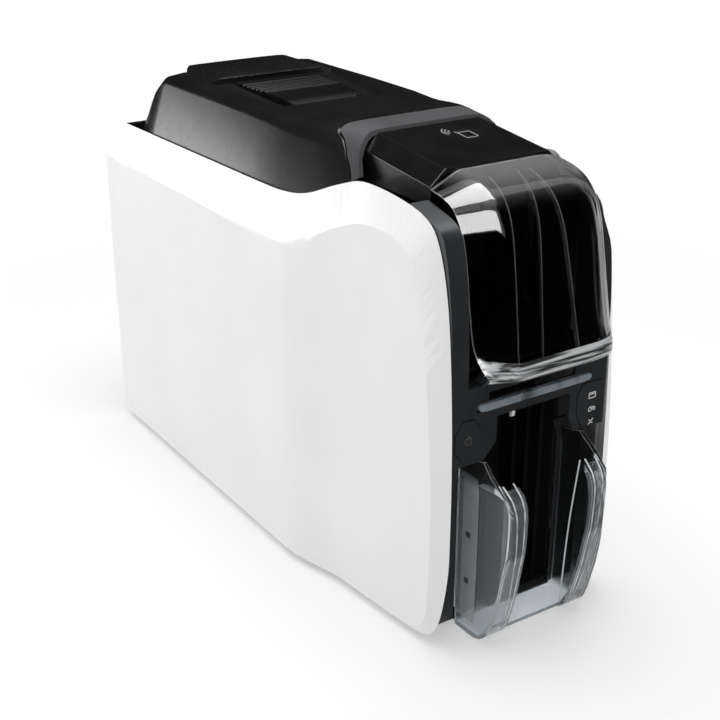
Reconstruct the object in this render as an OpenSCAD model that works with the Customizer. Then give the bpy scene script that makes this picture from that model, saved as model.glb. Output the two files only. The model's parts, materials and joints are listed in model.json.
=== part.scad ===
// Desktop id card printer with a hinged top lid, a clear input hopper door
// and a clear output hopper. Front faces -Y, +Z is up, and the origin is at
// the bottom, in the middle of the machine.

/* [Body] */
// Overall width over the two side panels
body_w = 153.2; // [150:0.2:166]
// Overall height at the top of the lid
body_h = 257.8; // [254:0.2:272]
// Distance from the middle to the front edge of the side panels
front_y = 169; // [166:0.5:178]
// Distance from the middle to the back of the side panels
back_y = 191; // [187:0.5:206]
// Wall of the side panels
panel_wall = 2.6; // [2:0.1:3.2]
// Wall of the lid, the deck cover and the front bezel
shell_wall = 2.4; // [1.8:0.1:3]
// Height of the rubber feet under the base tray
foot_h = 3; // [2:0.2:5]
// Thickness of the floor of the base tray
tray_floor = 3; // [2:0.2:4]

/* [Cards] */
// Length of a card
card_l = 85.6; // [84:0.2:88]
// Width of a card
card_w = 54; // [52:0.2:56]
// Height of the card path above the table
path_z = 157; // [154:0.5:160]
// Gap left for a card between a roller and what presses on it
card_gap = 0.9; // [0.8:0.05:1.4]
// Height of the ridge of the output hopper
bin_top = 106.7; // [100:0.5:109]
// Wall of the clear output hopper
bin_wall = 2.2; // [1.6:0.1:2.6]
// Wall of the clear input hopper door
door_wall = 2.2; // [1.6:0.1:2.6]
// How far the output hopper stands ahead of the side panels
bin_reach = 22; // [18:0.5:28]

/* [Mechanism] */
// Thickness of the steel side frames
frame_t = 2.5; // [2:0.1:3]
// Radius of the rubber rollers under the card path
roller_r = 7; // [6.4:0.1:7.4]
// Radius of the roller shafts
shaft_r = 3; // [2.5:0.1:3.2]
// Radius of the lid hinge pins
hinge_pin_r = 3; // [2.5:0.1:3.4]
// Radius of the door pivot pins
door_pin_r = 1.8; // [1.4:0.1:2]
// Width of the gear teeth
gear_w = 5; // [4:0.5:6]
// Radius of the print ribbon rolled on the supply spool
supply_roll_r = 17; // [12:0.5:18]
// Radius of the print ribbon rolled on the take-up spool
takeup_roll_r = 9; // [8:0.5:12]
// Travel of the release button
button_travel = 3; // [2:0.2:3.2]
// Travel of the power button
power_travel = 1; // [0.6:0.1:1.2]

/* [Fits] */
// Radial clearance of a shaft in its bore
run_gap = 0.05; // [0.02:0.01:0.1]
// Clearance between parts that pass each other
pass_gap = 0.4; // [0.3:0.05:0.6]

/* [Hidden] */
$fn = 48;

// ---- places shared by several parts ----
side_x = body_w / 2;
// side panel: border where the white cover ends and the black body starts
border_in = 8.6;
border_rear_x = side_x - border_in;
waist_in = 9.6;
taper_in = 6.4;
front_x = side_x - 23.9;
panel_z0 = 2;
// card hopper, deck and door
deck_half = card_w / 2 + 14.6;
deck_flat = deck_half - 8.9;
deck_drop = 7.8;
deck_front_y = 40 - front_y;
deck_back_y = 98 - front_y;
deck_front_z = body_h - 8.3;
deck_slope = 6;
tray_in = card_w / 2 + 1.2;
tray_wall = 2;
tray_back_y = 76 - front_y;
tray_front_y = 8 - front_y;
// card path and rollers
axle_z = path_z - roller_r;
pick_y = 38 - front_y;
clean_y = pick_y + 46;
feed_y = clean_y + 36;
platen_y = feed_y + 70;
exit_y = platen_y + 70;
// gears have module 1, so a pitch diameter in mm is a tooth count
roller_teeth = 24;
pick_idler_teeth = (clean_y - pick_y) - roller_teeth;
clean_idler_teeth = (feed_y - clean_y) - roller_teeth;
front_idler_teeth = (platen_y - feed_y) - roller_teeth;
rear_idler_teeth = (exit_y - platen_y) - roller_teeth;
pinion_teeth = 12;
takeup_teeth = 32;
pinch_r = 5;
pinch_z = path_z + card_gap + pinch_r;
// side frames
frame_in = card_w / 2 + 17;
frame_out = frame_in + frame_t;
frame_z0 = foot_h + tray_floor;
frame_z1 = path_z + 47;
frame_y0 = 26 - front_y;
frame_y1 = back_y - 9.4;
gear_x0 = frame_out + 2.5;
// ribbon
takeup_y = feed_y + 17;
takeup_z = path_z + 32;
supply_y = exit_y - 18;
supply_z = path_z + 34;
ribbon_half = card_w / 2 + 0.5;
ribbon_t = 0.3;
ribbon_z = path_z + card_gap + 0.3;
ribbon_pinion_y = takeup_y + (takeup_teeth + pinion_teeth) / 2;
// lid
hinge_y = back_y - 31;
hinge_z = body_h - 35.8;
lid_z = body_h;
plateau_z = lid_z - 5.5;
skirt_x = border_rear_x - 1.6;
arch_y = 115 - front_y;
latch_z = lid_z - 31;
stud_z = path_z + 50;
head_pivot_y = platen_y + 34;
head_pivot_z = path_z + 49;
// release button
button_y0 = arch_y + 86;
button_y1 = arch_y + 148;
button_half = 28;
latch_y = button_y0 - 20;
hump_y0 = button_y1 + 5;
hump_y1 = hump_y0 + 42;
hump_half = 40;
// front openings
slot_z = path_z - 17.4;
slot_h = 4.8;
light_z = slot_z - 2.1;
mouth_top = path_z - 27;
mouth_half = 24.2;
mouth_step_z = path_z - 41;
mouth_low_z = bin_top + 0.4;
mouth_low_half = 32;
bezel_face_y = 2.6 - front_y;
step_y = 18 - front_y;
power_x = 42.6;
power_z = path_z - 36;
power_hw = 8;
power_hh = 10.8;
// output hopper
bin_front_y = -front_y - bin_reach;
bin_half = card_w / 2 + 5.4 + bin_wall;
bin_floor_z = 1.2;
chute_half = card_w / 2 + 4.4;
chute_back_y = bin_front_y + card_l + 2.4;
// door
door_half = deck_half + 0.6;
door_pivot_y = -front_y - 1;
door_pivot_z = path_z + 1;
door_boss_x = door_half - 10;
door_open = door_half + 1;

// ---- helpers ----
function cr(a, b, c, d, t) =
  0.5 * ((2 * b) + (c - a) * t + (2 * a - 5 * b + 4 * c - d) * t * t
  + (3 * b - a - 3 * c + d) * t * t * t);
// smooth curve through the points P, n steps to each stretch
function smooth(P, n) = [
  for (i = [0 : len(P) - 2]) for (k = [0 : n - 1])
    cr(P[max(i - 1, 0)], P[i], P[i + 1], P[min(i + 2, len(P) - 1)], k / n),
  P[len(P) - 1]];
function unit(v) = v / max(norm(v), 0.0001);
function tangent(P, i) = unit(P[min(i + 1, len(P) - 1)] - P[max(i - 1, 0)]);
function ease(t) = let (u = min(max(t, 0), 1)) u * u * (3 - 2 * u);
function bez(a, b, c, t) = a * (1 - t) * (1 - t) + 2 * b * t * (1 - t) + c * t * t;
function arc(cx, cy, r, a0, a1, n) =
  [for (i = [0 : n]) let (a = a0 + (a1 - a0) * i / n) [cx + r * cos(a), cy + r * sin(a)]];

// solid through rings of points that all have the same count
module loft(R) {
  k = len(R[0]);
  n = len(R);
  polyhedron(
    points = [for (r = R) for (q = r) q],
    faces = concat(
      [[for (j = [0 : k - 1]) j]],
      [for (i = [0 : n - 2]) for (j = [0 : k - 1])
        [i * k + j, (i + 1) * k + j, (i + 1) * k + (j + 1) % k]],
      [for (i = [0 : n - 2]) for (j = [0 : k - 1])
        [i * k + j, (i + 1) * k + (j + 1) % k, i * k + (j + 1) % k]],
      [[for (j = [k - 1 : -1 : 0]) (n - 1) * k + j]]));
}
// prism along X of an outline in y, z
module xprism(pts, x0, x1) {
  translate([x0, 0, 0])
    rotate([90, 0, 90])
      linear_extrude(x1 - x0)
        polygon(pts);
}
// prism along Y of a drawn outline
module front_hole(y0, y1) {
  translate([0, y1, 0])
    rotate([90, 0, 0])
      linear_extrude(y1 - y0)
        children();
}
module xcyl(r, x0, x1, y, z) {
  translate([x0, y, z])
    rotate([0, 90, 0])
      cylinder(r = r, h = x1 - x0);
}
module ycyl(r, y0, y1, x, z) {
  translate([x, y1, z])
    rotate([90, 0, 0])
      cylinder(r = r, h = y1 - y0);
}
module block(x0, x1, y0, y1, z0, z1) {
  translate([x0, y0, z0])
    cube([x1 - x0, y1 - y0, z1 - z0]);
}
module both_sides() {
  children();
  mirror([1, 0, 0])
    children();
}
// spur gear along X; half = 1 turns it by half a tooth
module gear(teeth, x0, x1, y, z, bore, half = 0) {
  pr = teeth / 2;
  ro = pr + 0.9;
  ri = pr - 1.2;
  pitch = 360 / teeth;
  // tooth flanks, thinner than half the pitch so that meshed teeth keep play
  w0 = 0.36 * pitch;
  w1 = 0.235 * pitch;
  w2 = 0.12 * pitch;
  outline = [for (i = [0 : teeth - 1]) let (a = (i + half / 2) * pitch)
    for (q = [[ri, -w0], [pr, -w1], [ro, -w2], [ro, w2], [pr, w1], [ri, w0]])
      [q[0] * cos(a + q[1]), q[0] * sin(a + q[1])]];
  difference() {
    xprism([for (q = outline) [q[0] + y, q[1] + z]], x0, x1);
    xcyl(bore, x0 - 1, x1 + 1, y, z);
  }
}

// ---- side panels ----
function plan_x(y) = side_x - waist_in * ease((129 - front_y - y) / 52)
  - taper_in * min(max((78 - front_y - y) / 70, 0), 1);
function border_x(y) = plan_x(y + 8) - border_in + 1.8 * ease((100 - front_y - y) / 50);
z_top = body_h - 257.8;
f = -front_y + 169;
// sections from the rear to the front:
// [y, upper z, lower z] of the bevel's outer edge, then [y, z] of the upper
// and of the lower edge of the border
PANEL = smooth([
  [back_y + 5, 192 + z_top, 6, back_y + 5, 217 + z_top, back_y + 5, 2],
  [100, 193.5 + z_top, 6, 100, 218.5 + z_top, 100, 2],
  [0, 195 + z_top, 6, 0, 219.8 + z_top, 0, 2],
  [f - 36, 196 + z_top, 6, f - 34, 221.2 + z_top, f - 36, 2],
  [f - 60, 202 + z_top, 6, f - 57, 225.6 + z_top, f - 60, 2],
  [f - 83, 213.5 + z_top, 6, f - 78, 234.2 + z_top, f - 83, 2],
  [f - 104, 221 + z_top, 6, f - 98, 240 + z_top, f - 104, 2],
  [f - 125, 221.5 + z_top, 6, f - 124, 238.8 + z_top, f - 125, 2],
  [f - 139, 216 + z_top, 6.6, f - 146, 233 + z_top, f - 141, 2],
  [f - 147, 204 + z_top, 8, f - 155.5, 221.6 + z_top, f - 151, 3],
  [f - 151.5, 183 + z_top, 9.6, f - 162, 198 + z_top, f - 157.5, 6],
  [f - 155.5, 157, 12.5, f - 165.6, 168, f - 162, 11],
  [f - 159, 120, 21, f - 168, 130, f - 166, 22],
  [f - 160.6, 88, 42, f - 169, 92, f - 168.6, 44],
  [f - 161, 67, 64, f - 169, 68, f - 169, 65]], 4);
function upper(i) = [PANEL[i][3], PANEL[i][4]];
function lower(i) = [PANEL[i][5], PANEL[i][6]];
UP = [for (i = [0 : len(PANEL) - 1]) upper(i)];
LOW = [for (i = [0 : len(PANEL) - 1]) lower(i)];
// one ring of the cover; t moves the skin inwards
function panel_ring(i, t) =
  let (r = PANEL[i], du = tangent(UP, i), dl = tangent(LOW, i),
    u = UP[i] + t * [-du[1], du[0]], l = LOW[i] + t * [dl[1], -dl[0]],
    yo = r[0] + (t > 0 ? max(-du[1], 0) * t : 0),
    x = plan_x(r[0]) - t, deep = t > 0 ? 8 : 0)
  [[-(border_x(r[3]) - deep), u[0], u[1]], [-x, yo, r[1] - 0.4 * t],
  [-x, yo, r[2] + 0.4 * t],
  [-(plan_x(r[5]) - 4 - 2.8 * ease((r[6] - 4) / 55) - deep), l[0], l[1]]];
module panel_solid(t) {
  last = len(PANEL) - (t > 0 ? 3 : 1);
  loft([for (i = [0 : last]) panel_ring(i, t)]);
}
module side_panel() {
  color("white")
    difference() {
      intersection() {
        difference() {
          panel_solid(0);
          panel_solid(panel_wall);
        }
        // slightly bowed rear edge
        translate([-side_x - 1, 0, 0])
          rotate([90, 0, 90])
            linear_extrude(side_x)
              intersection() {
                translate([back_y - 2300, 110])
                  circle(r = 2300, $fn = 720);
                translate([-front_y - 2, panel_z0])
                  square([front_y + back_y + 4, body_h]);
              }
      }
    }
  // bosses for the screws through the wall of the base tray
  color("white")
    for (y = PANEL_SCREW_Y)
      difference() {
        xcyl(3.6, -side_x + panel_wall - 0.6, -tray_x, y, screw_z);
        xcyl(1.55, -side_x + panel_wall - 0.2, -tray_x + 1, y, screw_z);
      }
}
module left_side_panel() {
  side_panel();
}
module right_side_panel() {
  mirror([1, 0, 0])
    side_panel();
}

// ---- base ----
tray_x = side_x - panel_wall - 2;
screw_z = 14;
PANEL_SCREW_Y = [back_y - 24, 40];
module tray_outline(inset) {
  xr = tray_x - inset;
  xf = front_x - 3.1 - inset;
  yf = step_y + shell_wall + 0.3 + inset;
  polygon([[-xf, yf], [xf, yf],
    [xf, 65 - front_y], [xr - 9, 100 - front_y], [xr, 135 - front_y],
    [xr, back_y - 6.8 - inset], [-xr, back_y - 6.8 - inset],
    [-xr, 135 - front_y], [-xr + 9, 100 - front_y], [-xf, 65 - front_y]]);
}
module base_tray() {
  color("#2b2c2f")
    difference() {
      translate([0, 0, foot_h])
        linear_extrude(tray_floor + 16)
          tray_outline(0);
      translate([0, 0, foot_h + tray_floor])
        linear_extrude(30)
          tray_outline(2.5);
      // room for the output chute
      block(-chute_half - 2.8, chute_half + 2.8, step_y - 2, chute_back_y + 2.6,
        foot_h - 1, foot_h + 40);
      // cooling slots through the floor
      for (i = [0 : 6])
        block(-30, 30, 20 + i * 9, 23.5 + i * 9, foot_h - 1, foot_h + tray_floor + 1);
      // pilot holes of the side panel screws and of the rear panel screws
      for (y = PANEL_SCREW_Y)
        xcyl(1.7, -side_x, side_x, y, screw_z);
      for (q = REAR_SCREWS)
        ycyl(1.5, rear_y - 12, rear_y, q[0], q[1]);
    }
}
foot_x_rear = side_x - 20;
foot_x_front = front_x - 13;
foot_y_rear = back_y - 24;
foot_y_front = step_y + 12;
module foot(x, y) {
  translate([x, y, 0])
    rotate_extrude()
      polygon([[0, 0], [6, 0], [7, 0.8], [7.5, foot_h], [0, foot_h]]);
}
module rubber_feet() {
  color("#1c1c1d") {
    for (s = [-1, 1]) {
      foot(s * foot_x_rear, foot_y_rear);
      foot(s * foot_x_front, foot_y_front);
    }
  }
}

// ---- rear panel and its ports ----
rear_y = back_y - 4;
rear_t = 2.6;
rear_z1 = body_h - 44;
port_z = 34;
rear_screw_z = path_z + 34;
REAR_SCREWS = [for (s = [-1, 1]) for (q = [[side_x - 16, screw_z], [frame_in - 4, rear_screw_z]])
  [s * q[0], q[1]]];
power_port_x = 30;
usb_x = 6;
lan_x = -18;
module rear_panel() {
  xr = side_x - panel_wall - 1.2;
  color("#2b2c2f")
    difference() {
      union() {
        front_hole(rear_y - rear_t, rear_y)
          polygon([[3.4 - xr, foot_h + 0.5], [xr - 3.4, foot_h + 0.5], [xr, foot_h + 6],
            [xr, body_h - 74], [xr - 9, rear_z1], [9 - xr, rear_z1],
            [-xr, body_h - 74], [-xr, foot_h + 6]]);
        // shallow raised field round the ports
        block(lan_x - 14, power_port_x + 12, rear_y, rear_y + 1.2,
          port_z - 14, port_z + 14);
      }
      ycyl(5.6, rear_y - 9, rear_y + 9, power_port_x, port_z);
      block(usb_x - 6.3, usb_x + 6.3, rear_y - 9, rear_y + 9, port_z - 5.7, port_z + 5.7);
      block(lan_x - 8.3, lan_x + 8.3, rear_y - 9, rear_y + 9, port_z - 7, port_z + 7);
      // security lock slot
      block(-52, -45, rear_y - 9, rear_y + 9, port_z - 1.6, port_z + 1.6);
      for (q = REAR_SCREWS)
        ycyl(1.6, rear_y - 9, rear_y + 9, q[0], q[1]);
    }
}
module port_shell(x, hw, hh, deep) {
  difference() {
    block(x - hw, x + hw, rear_y - deep, rear_y + 0.6, port_z - hh, port_z + hh);
    block(x - hw + 0.8, x + hw - 0.8, rear_y - deep + 1.5, rear_y + 5,
      port_z - hh + 0.8, port_z + hh - 0.8);
  }
}
module usb_port() {
  color("silver") {
    port_shell(usb_x, 6, 5.4, 13);
    block(usb_x - 2.8, usb_x + 2.8, rear_y - 12, rear_y - 1.5, port_z - 1.6, port_z + 1.6);
  }
}
module ethernet_port() {
  color("silver") {
    port_shell(lan_x, 8, 6.7, 16);
    block(lan_x - 5, lan_x + 5, rear_y - 15, rear_y - 5, port_z + 4.6, port_z + 6);
  }
}
module power_jack() {
  color("#202022") {
    difference() {
      ycyl(5.4, rear_y - 12, rear_y + 0.6, power_port_x, port_z);
      ycyl(3.4, rear_y - 10.5, rear_y + 5, power_port_x, port_z);
    }
    ycyl(1, rear_y - 11, rear_y - 1, power_port_x, port_z);
  }
}
board_y1 = rear_y - rear_t - 1;
board_z = port_z - 8.6;
module main_board() {
  color("#1f6b3a") {
    difference() {
      block(-32, 40, board_y1 - 74, board_y1, board_z - 1.6, board_z);
      for (x = [-28, 36])
        for (y = [board_y1 - 70, board_y1 - 5])
          translate([x, y, board_z - 5])
            cylinder(r = 1.7, h = 10);
    }
    // standoffs on the base tray
    for (x = [-28, 36])
      for (y = [board_y1 - 70, board_y1 - 5])
        translate([x, y, foot_h + tray_floor])
          difference() {
            cylinder(r = 3.2, h = board_z - 1.6 - foot_h - tray_floor);
            translate([0, 0, 2])
              cylinder(r = 1.2, h = 40);
          }
    // processor, memory, driver chips, capacitors and the connectors
    block(-8, 8, board_y1 - 52, board_y1 - 36, board_z, board_z + 1.6);
    block(14, 26, board_y1 - 50, board_y1 - 40, board_z, board_z + 1.2);
    for (i = [0 : 2])
      block(-30 + i * 11, -22 + i * 11, board_y1 - 68, board_y1 - 62, board_z, board_z + 1.6);
    for (x = [22, 32])
      translate([x, board_y1 - 34, board_z])
        cylinder(r = 4, h = 11);
    block(4, 30, board_y1 - 68, board_y1 - 62, board_z, board_z + 6);
  }
}
module rear_screws() {
  color("silver")
    for (q = REAR_SCREWS)
      difference() {
        union() {
          ycyl(1.4, rear_y - 7, rear_y, q[0], q[1]);
          ycyl(2.8, rear_y, rear_y + 1.8, q[0], q[1]);
        }
        ycyl(1.3, rear_y + 0.8, rear_y + 3, q[0], q[1], $fn = 6);
      }
}

// ---- front ----
// side outline of the bezel, from the top at the back down to the step
BEZEL = smooth([
  [deck_front_y - 1, body_h - 21.8], [16 - front_y, body_h - 28], [9 - front_y, body_h - 40],
  [4.6 - front_y, body_h - 66], [3 - front_y, path_z + 10], [bezel_face_y, path_z - 20],
  [bezel_face_y, mouth_low_z]], 5);
// the ledge beside the deck cover runs on to the lid
module bezel_outline(t) {
  polygon(concat([[bezel_back_y, foot_h + 1 - t], [bezel_back_y, body_h - 42 - t],
    [ledge_back_y + t, body_h - 42 - t], [ledge_back_y + t, body_h - 37 - 1.1 * t],
    [ledge_back_y - 22, body_h - 30 - 1.1 * t], [deck_front_y + 16, body_h - 28.4 - t]],
    [for (q = BEZEL) [q[0] + t, q[1] - (q[0] > 24 - front_y ? t : 0)]],
    [[step_y + t, mouth_low_z], [step_y + t, foot_h + 1 - t]]));
}
bezel_back_y = frame_y0 - 2.5;
ledge_back_y = arch_y - 4;
// plan of the bezel: its sides follow the border of the side panels
module bezel_plan(t) {
  ys = [for (i = [0 : 8]) -front_y - 8 + i * (ledge_back_y + front_y + 12) / 8];
  polygon(concat([for (y = ys) [border_x(y) - 0.5 - t, y]],
    [for (i = [8 : -1 : 0]) [-border_x(ys[i]) + 0.5 + t, ys[i]]]));
}
module octagon(x, z, hw, hh) {
  c = 0.42;
  polygon([[x - hw, z - hh * c], [x - hw * c, z - hh], [x + hw * c, z - hh], [x + hw, z - hh * c],
    [x + hw, z + hh * c], [x + hw * c, z + hh], [x - hw * c, z + hh], [x - hw, z + hh * c]]);
}
bezel_half = front_x - 0.4;
module bezel_solid(t) {
  intersection() {
    rotate([90, 0, 90])
      translate([0, 0, -side_x])
        linear_extrude(2 * side_x)
          bezel_outline(t);
    linear_extrude(body_h + 10)
      bezel_plan(t);
  }
}
module front_bezel() {
  hole_y0 = -front_y - 30;
  color("#2e3033")
    difference() {
      bezel_solid(0);
      // hollow behind the face
      difference() {
        bezel_solid(shell_wall);
        // crosspiece above the mouth, and cheeks of the door opening
        block(-bezel_half, bezel_half, -front_y - 9, step_y + 6, slot_z + 7, slot_z + 9.4);
        both_sides() {
          block(door_open, door_open + 1.6, -front_y - 9, frame_y0 - 1.5, slot_z + 7, body_h);
          block(door_open, door_open + 1.6, -front_y - 9, ledge_back_y + 5,
            frame_z1 + 3, body_h);
        }
      }
      // opening for the door
      front_hole(hole_y0, ledge_back_y + 6)
        polygon([[-door_open, slot_z + 9.4], [door_open, slot_z + 9.4],
          [door_open, body_h + 5], [-door_open, body_h + 5]]);
      // mouth above the output hopper
      front_hole(hole_y0, step_y + 12)
        polygon([[-mouth_half, mouth_top], [mouth_half, mouth_top],
          [mouth_half, mouth_step_z], [mouth_low_half, mouth_low_z],
          [mouth_low_half + 4, mouth_low_z - 10], [mouth_low_half + 4, foot_h - 2],
          [-mouth_low_half - 4, foot_h - 2], [-mouth_low_half - 4, mouth_low_z - 10],
          [-mouth_low_half, mouth_low_z], [-mouth_half, mouth_step_z]]);
      // manual feed slot and the seat of its light strip
      front_hole(hole_y0, step_y + 6)
        translate([-card_w / 2 - 3, slot_z])
          square([card_w + 6, slot_h]);
      front_hole(hole_y0, bezel_face_y + 1.4)
        translate([-37.4, light_z - 2.8])
          square([74.8, 4.9]);
      // power button
      front_hole(hole_y0, step_y)
        octagon(-power_x, power_z, power_hw + pass_gap, power_hh + pass_gap);
      // status window
      front_hole(hole_y0, bezel_face_y + 1.2)
        polygon(status_pts(pass_gap));
    }
  // lugs behind the door that carry its pins
  color("#2e3033")
    both_sides()
      difference() {
        hull() {
          xcyl(3.2, door_boss_x, door_boss_x + 3, door_pivot_y, door_pivot_z);
          block(door_boss_x, door_boss_x + 3, bezel_face_y + 0.4, bezel_face_y + 6,
            slot_z + 8, slot_z + 9.4);
        }
        xcyl(door_pin_r + run_gap, 0, door_half, door_pivot_y, door_pivot_z);
      }
}
function status_pts(g) = [[34.5 - g, power_z - 4], [38 - g, power_z - 12 - g],
  [50.5 + g, power_z - 12 - g], [50.5 + g, power_z + 12 + g], [38 - g, power_z + 12 + g],
  [34.5 - g, power_z + 6]];
module status_window() {
  color("#3a3d42")
    difference() {
      front_hole(bezel_face_y - 0.6, bezel_face_y + 1.1)
        polygon(status_pts(0));
      // wells of the three status lamps
      for (dz = [4, -4, -11])
        block(41.8, 46.6, bezel_face_y - 1, bezel_face_y - 0.3,
          power_z + dz - 1.6, power_z + dz + 1.6);
    }
}
module feed_slot_light() {
  color("#9fb2bf")
    union() {
      front_hole(bezel_face_y - 1.8, bezel_face_y + 1.2)
        hull() {
          translate([-35, light_z])
            circle(r = 1.9, $fn = 32);
          translate([35, light_z])
            circle(r = 1.9, $fn = 32);
        }
      // lower lip
      block(-33, 33, bezel_face_y - 1.2, bezel_face_y + 1, light_z - 2.6, light_z - 1);
    }
}
module exit_flag() {
  py = bezel_face_y + shell_wall + 5.8;
  pz = mouth_top + 3.4;
  color("#e4e6e8") {
    xcyl(1.4, -16, -5, py, pz);
    xprism([[py - 1.2, pz + 1], [py - 4.6, pz - 3.4], [py - 4, pz - 9], [py - 2.4, pz - 9.4],
      [py - 2.6, pz - 4], [py + 1.2, pz + 0.6]], -11.6, -9.4);
    xprism([[py - 1.2, pz + 1.2], [py - 5.4, pz - 1], [py - 5, pz - 2.6], [py + 1.2, pz - 0.8]],
      -15.4, -5.6);
  }
}
module power_button() {
  color("#33363a") {
    front_hole(bezel_face_y - 0.5, bezel_face_y + 3)
      octagon(-power_x, power_z, power_hw, power_hh);
    ycyl(2.4, bezel_face_y + 2.9, bezel_face_y + 8 - power_travel, -power_x, power_z);
    block(-power_x - power_hw - 0.7, -power_x + power_hw + 0.7, bezel_face_y + shell_wall + 0.4,
      bezel_face_y + shell_wall + 1.8, power_z - 3, power_z + 3);
  }
}
// top of the head, over the card hopper
module deck_section(t) {
  polygon([[-deck_half + t, 0], [-deck_half + t, 30 - deck_drop], [-deck_flat + 0.4 * t, 30 - t],
    [deck_flat - 0.4 * t, 30 - t], [deck_half - t, 30 - deck_drop], [deck_half - t, 0]]);
}
module deck_body(t, y0, y1) {
  // the section is drawn square to the sloping top
  translate([0, deck_front_y, deck_front_z - 30])
    rotate([deck_slope, 0, 0])
      translate([0, y1 - deck_front_y, 0])
        rotate([90, 0, 0])
          linear_extrude(y1 - y0)
            deck_section(t);
}
module deck_cover() {
  flange = 3.4;
  color("#141416")
    difference() {
      union() {
        intersection() {
          deck_body(0, deck_front_y - 8, deck_back_y + 8);
          block(-deck_half, deck_half, deck_front_y, deck_back_y, body_h - 26, body_h + 4);
        }
        // lower flange that runs in under the lid
        intersection() {
          deck_body(flange, deck_back_y - 6, deck_back_y + 18);
          block(-deck_half, deck_half, deck_back_y - 4, deck_back_y + 8,
            body_h - 26, body_h + 4);
        }
      }
      difference() {
        deck_body(shell_wall, deck_front_y - 12, deck_back_y - 2);
        block(-deck_half, deck_half, deck_back_y - 4, deck_back_y + 9, body_h - 26, body_h);
      }
      deck_body(flange + 2, deck_back_y - 8, deck_back_y + 22);
      block(-deck_half + shell_wall, deck_half - shell_wall, deck_front_y - 5,
        deck_back_y + 5, body_h - 50, body_h - 24);
    }
}

// ---- card hopper and output ----
module card_tray() {
  z1 = body_h - 21;
  y0 = tray_front_y;
  y1 = tray_back_y;
  color("#0e0e10")
    difference() {
      union() {
        // floor
        block(-deck_half + 3, deck_half - 3, y0 + 2, y1, path_z - 3, path_z);
        // side walls and their front flanges
        both_sides() {
          block(tray_in, tray_in + tray_wall, y0 + 6, y1, path_z - 1, z1);
          block(tray_in, deck_half - 3, y0 + 14, y0 + 16, path_z - 1, z1 - 4);
          block(tray_in + 1, deck_half - 3, y1 - 2, y1, path_z - 1, z1);
        }
        // rear wall with the one-card gate under it
        block(-tray_in - 1, tray_in + 1, y1, y1 + tray_wall, path_z + 1.3, z1);
      }
      // window of the pick roller, and grooves that keep cards from sticking
      block(-16, 16, pick_y - roller_r - 1, pick_y + roller_r + 1, path_z - 4, path_z + 1);
      for (x = [-24, 20])
        block(x, x + 4, y0 + 8, y1 - 6, path_z - 1, path_z + 1);
      // guide slots of the card weight
      both_sides()
        block(tray_in - 1, tray_in + 3, weight_y - 3.4, weight_y + 3.4,
          path_z + 3, z1 + 1);
    }
}
weight_y = (tray_front_y + tray_back_y) / 2 + 6;
weight_z = path_z + 3.6;
module card_weight() {
  hw = tray_in - 1.2;
  color("#1b1c1f") {
    difference() {
      block(-hw, hw, weight_y - 24, weight_y + 24, weight_z, weight_z + 5);
      block(-hw + 3, hw - 3, weight_y - 20, weight_y + 20, weight_z + 2, weight_z + 6);
    }
    // ribs of the tray-shaped weight
    for (x = [-10, 10])
      block(x - 0.8, x + 0.8, weight_y - 20, weight_y + 20, weight_z + 1, weight_z + 4.4);
    // finger tab
    hull() {
      block(-7, 7, weight_y - 24, weight_y - 22, weight_z + 1, weight_z + 5);
      block(-5, 5, weight_y - 25.5, weight_y - 24.5, weight_z + 7, weight_z + 8);
    }
    // lugs that run in the slots of the tray
    both_sides()
      block(hw - 0.5, tray_in + tray_wall + 1, weight_y - 3, weight_y + 3,
        weight_z, weight_z + 5);
  }
}
module output_chute() {
  y0 = step_y + 3;
  y1 = chute_back_y;
  w = 1.8;
  h = chute_half;
  z1 = mouth_top + 1;
  color("#101012")
    union() {
      // floor, sides and rear wall
      block(-h - w, h + w, y0, y1 + w, foot_h + 0.4, foot_h + 2);
      both_sides()
        block(h, h + w, y0, y1 + w, foot_h + 0.4, z1 - 12);
      block(-h - w, h + w, y1, y1 + w, foot_h + 0.4, z1 - 4);
      // ribs on the rear wall and on the sides
      for (i = [-2 : 2])
        block(i * 11 - 0.8, i * 11 + 0.8, y1 - 2.5, y1 + 0.1, foot_h + 1.8, z1 - 8);
      both_sides()
        for (i = [0 : 2])
          block(h - 1.8, h + 0.1, y0 + 9 + i * 11, y0 + 10.4 + i * 11,
            foot_h + 1.8, z1 - 14);
      // ramp that sends cards down to the hopper
      difference() {
        xprism([[y1, z1 - 6], [y1, z1 - 3], [y1 + 8, z1 + 9], [y1 + 9.6, z1 + 8],
          [y1 + w, z1 - 4], [y1 + w, z1 - 6]], -h - w, h + w);
        block(-12, 12, y1 + 2, y1 + 20, z1 - 1, z1 + 6);
      }
    }
}
module bin_profile(t) {
  // side view of the clear hopper, front at the left
  y = bin_front_y;
  polygon(concat(
    [[step_y - 0.6, bin_floor_z + t]],
    [[step_y - 0.6, bin_top - 4 - t * 3], [bin_front_y + 23, bin_top - t * 3.4]],
    [[y + 3.4 + t, bin_top - 14], [y + 0.7 + t, bin_top - 19.5], [y + t, bin_top - 27]],
    [[y + 0.6 + t, 62], [y + 2.8 + t, 50], [y + 5.6 + t, 34], [y + 10.4 + t, 16]],
    arc(y + 25, bin_floor_z + 13 + t, 13 - t * 0.5, 200, 262, 5)));
}
module bin_plan(t) {
  hr = bin_half + 1.6 - t;
  hf = card_w / 2 + 6.6 - t;
  y = bin_front_y + t;
  polygon(concat([[-hr, step_y + (t > 0 ? 5 : -0.6)]],
    arc(-hf + 5, y + 5, 5, 180, 270, 5), arc(hf - 5, y + 5, 5, 270, 360, 5),
    [[hr, step_y + (t > 0 ? 5 : -0.6)]]));
}
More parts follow.
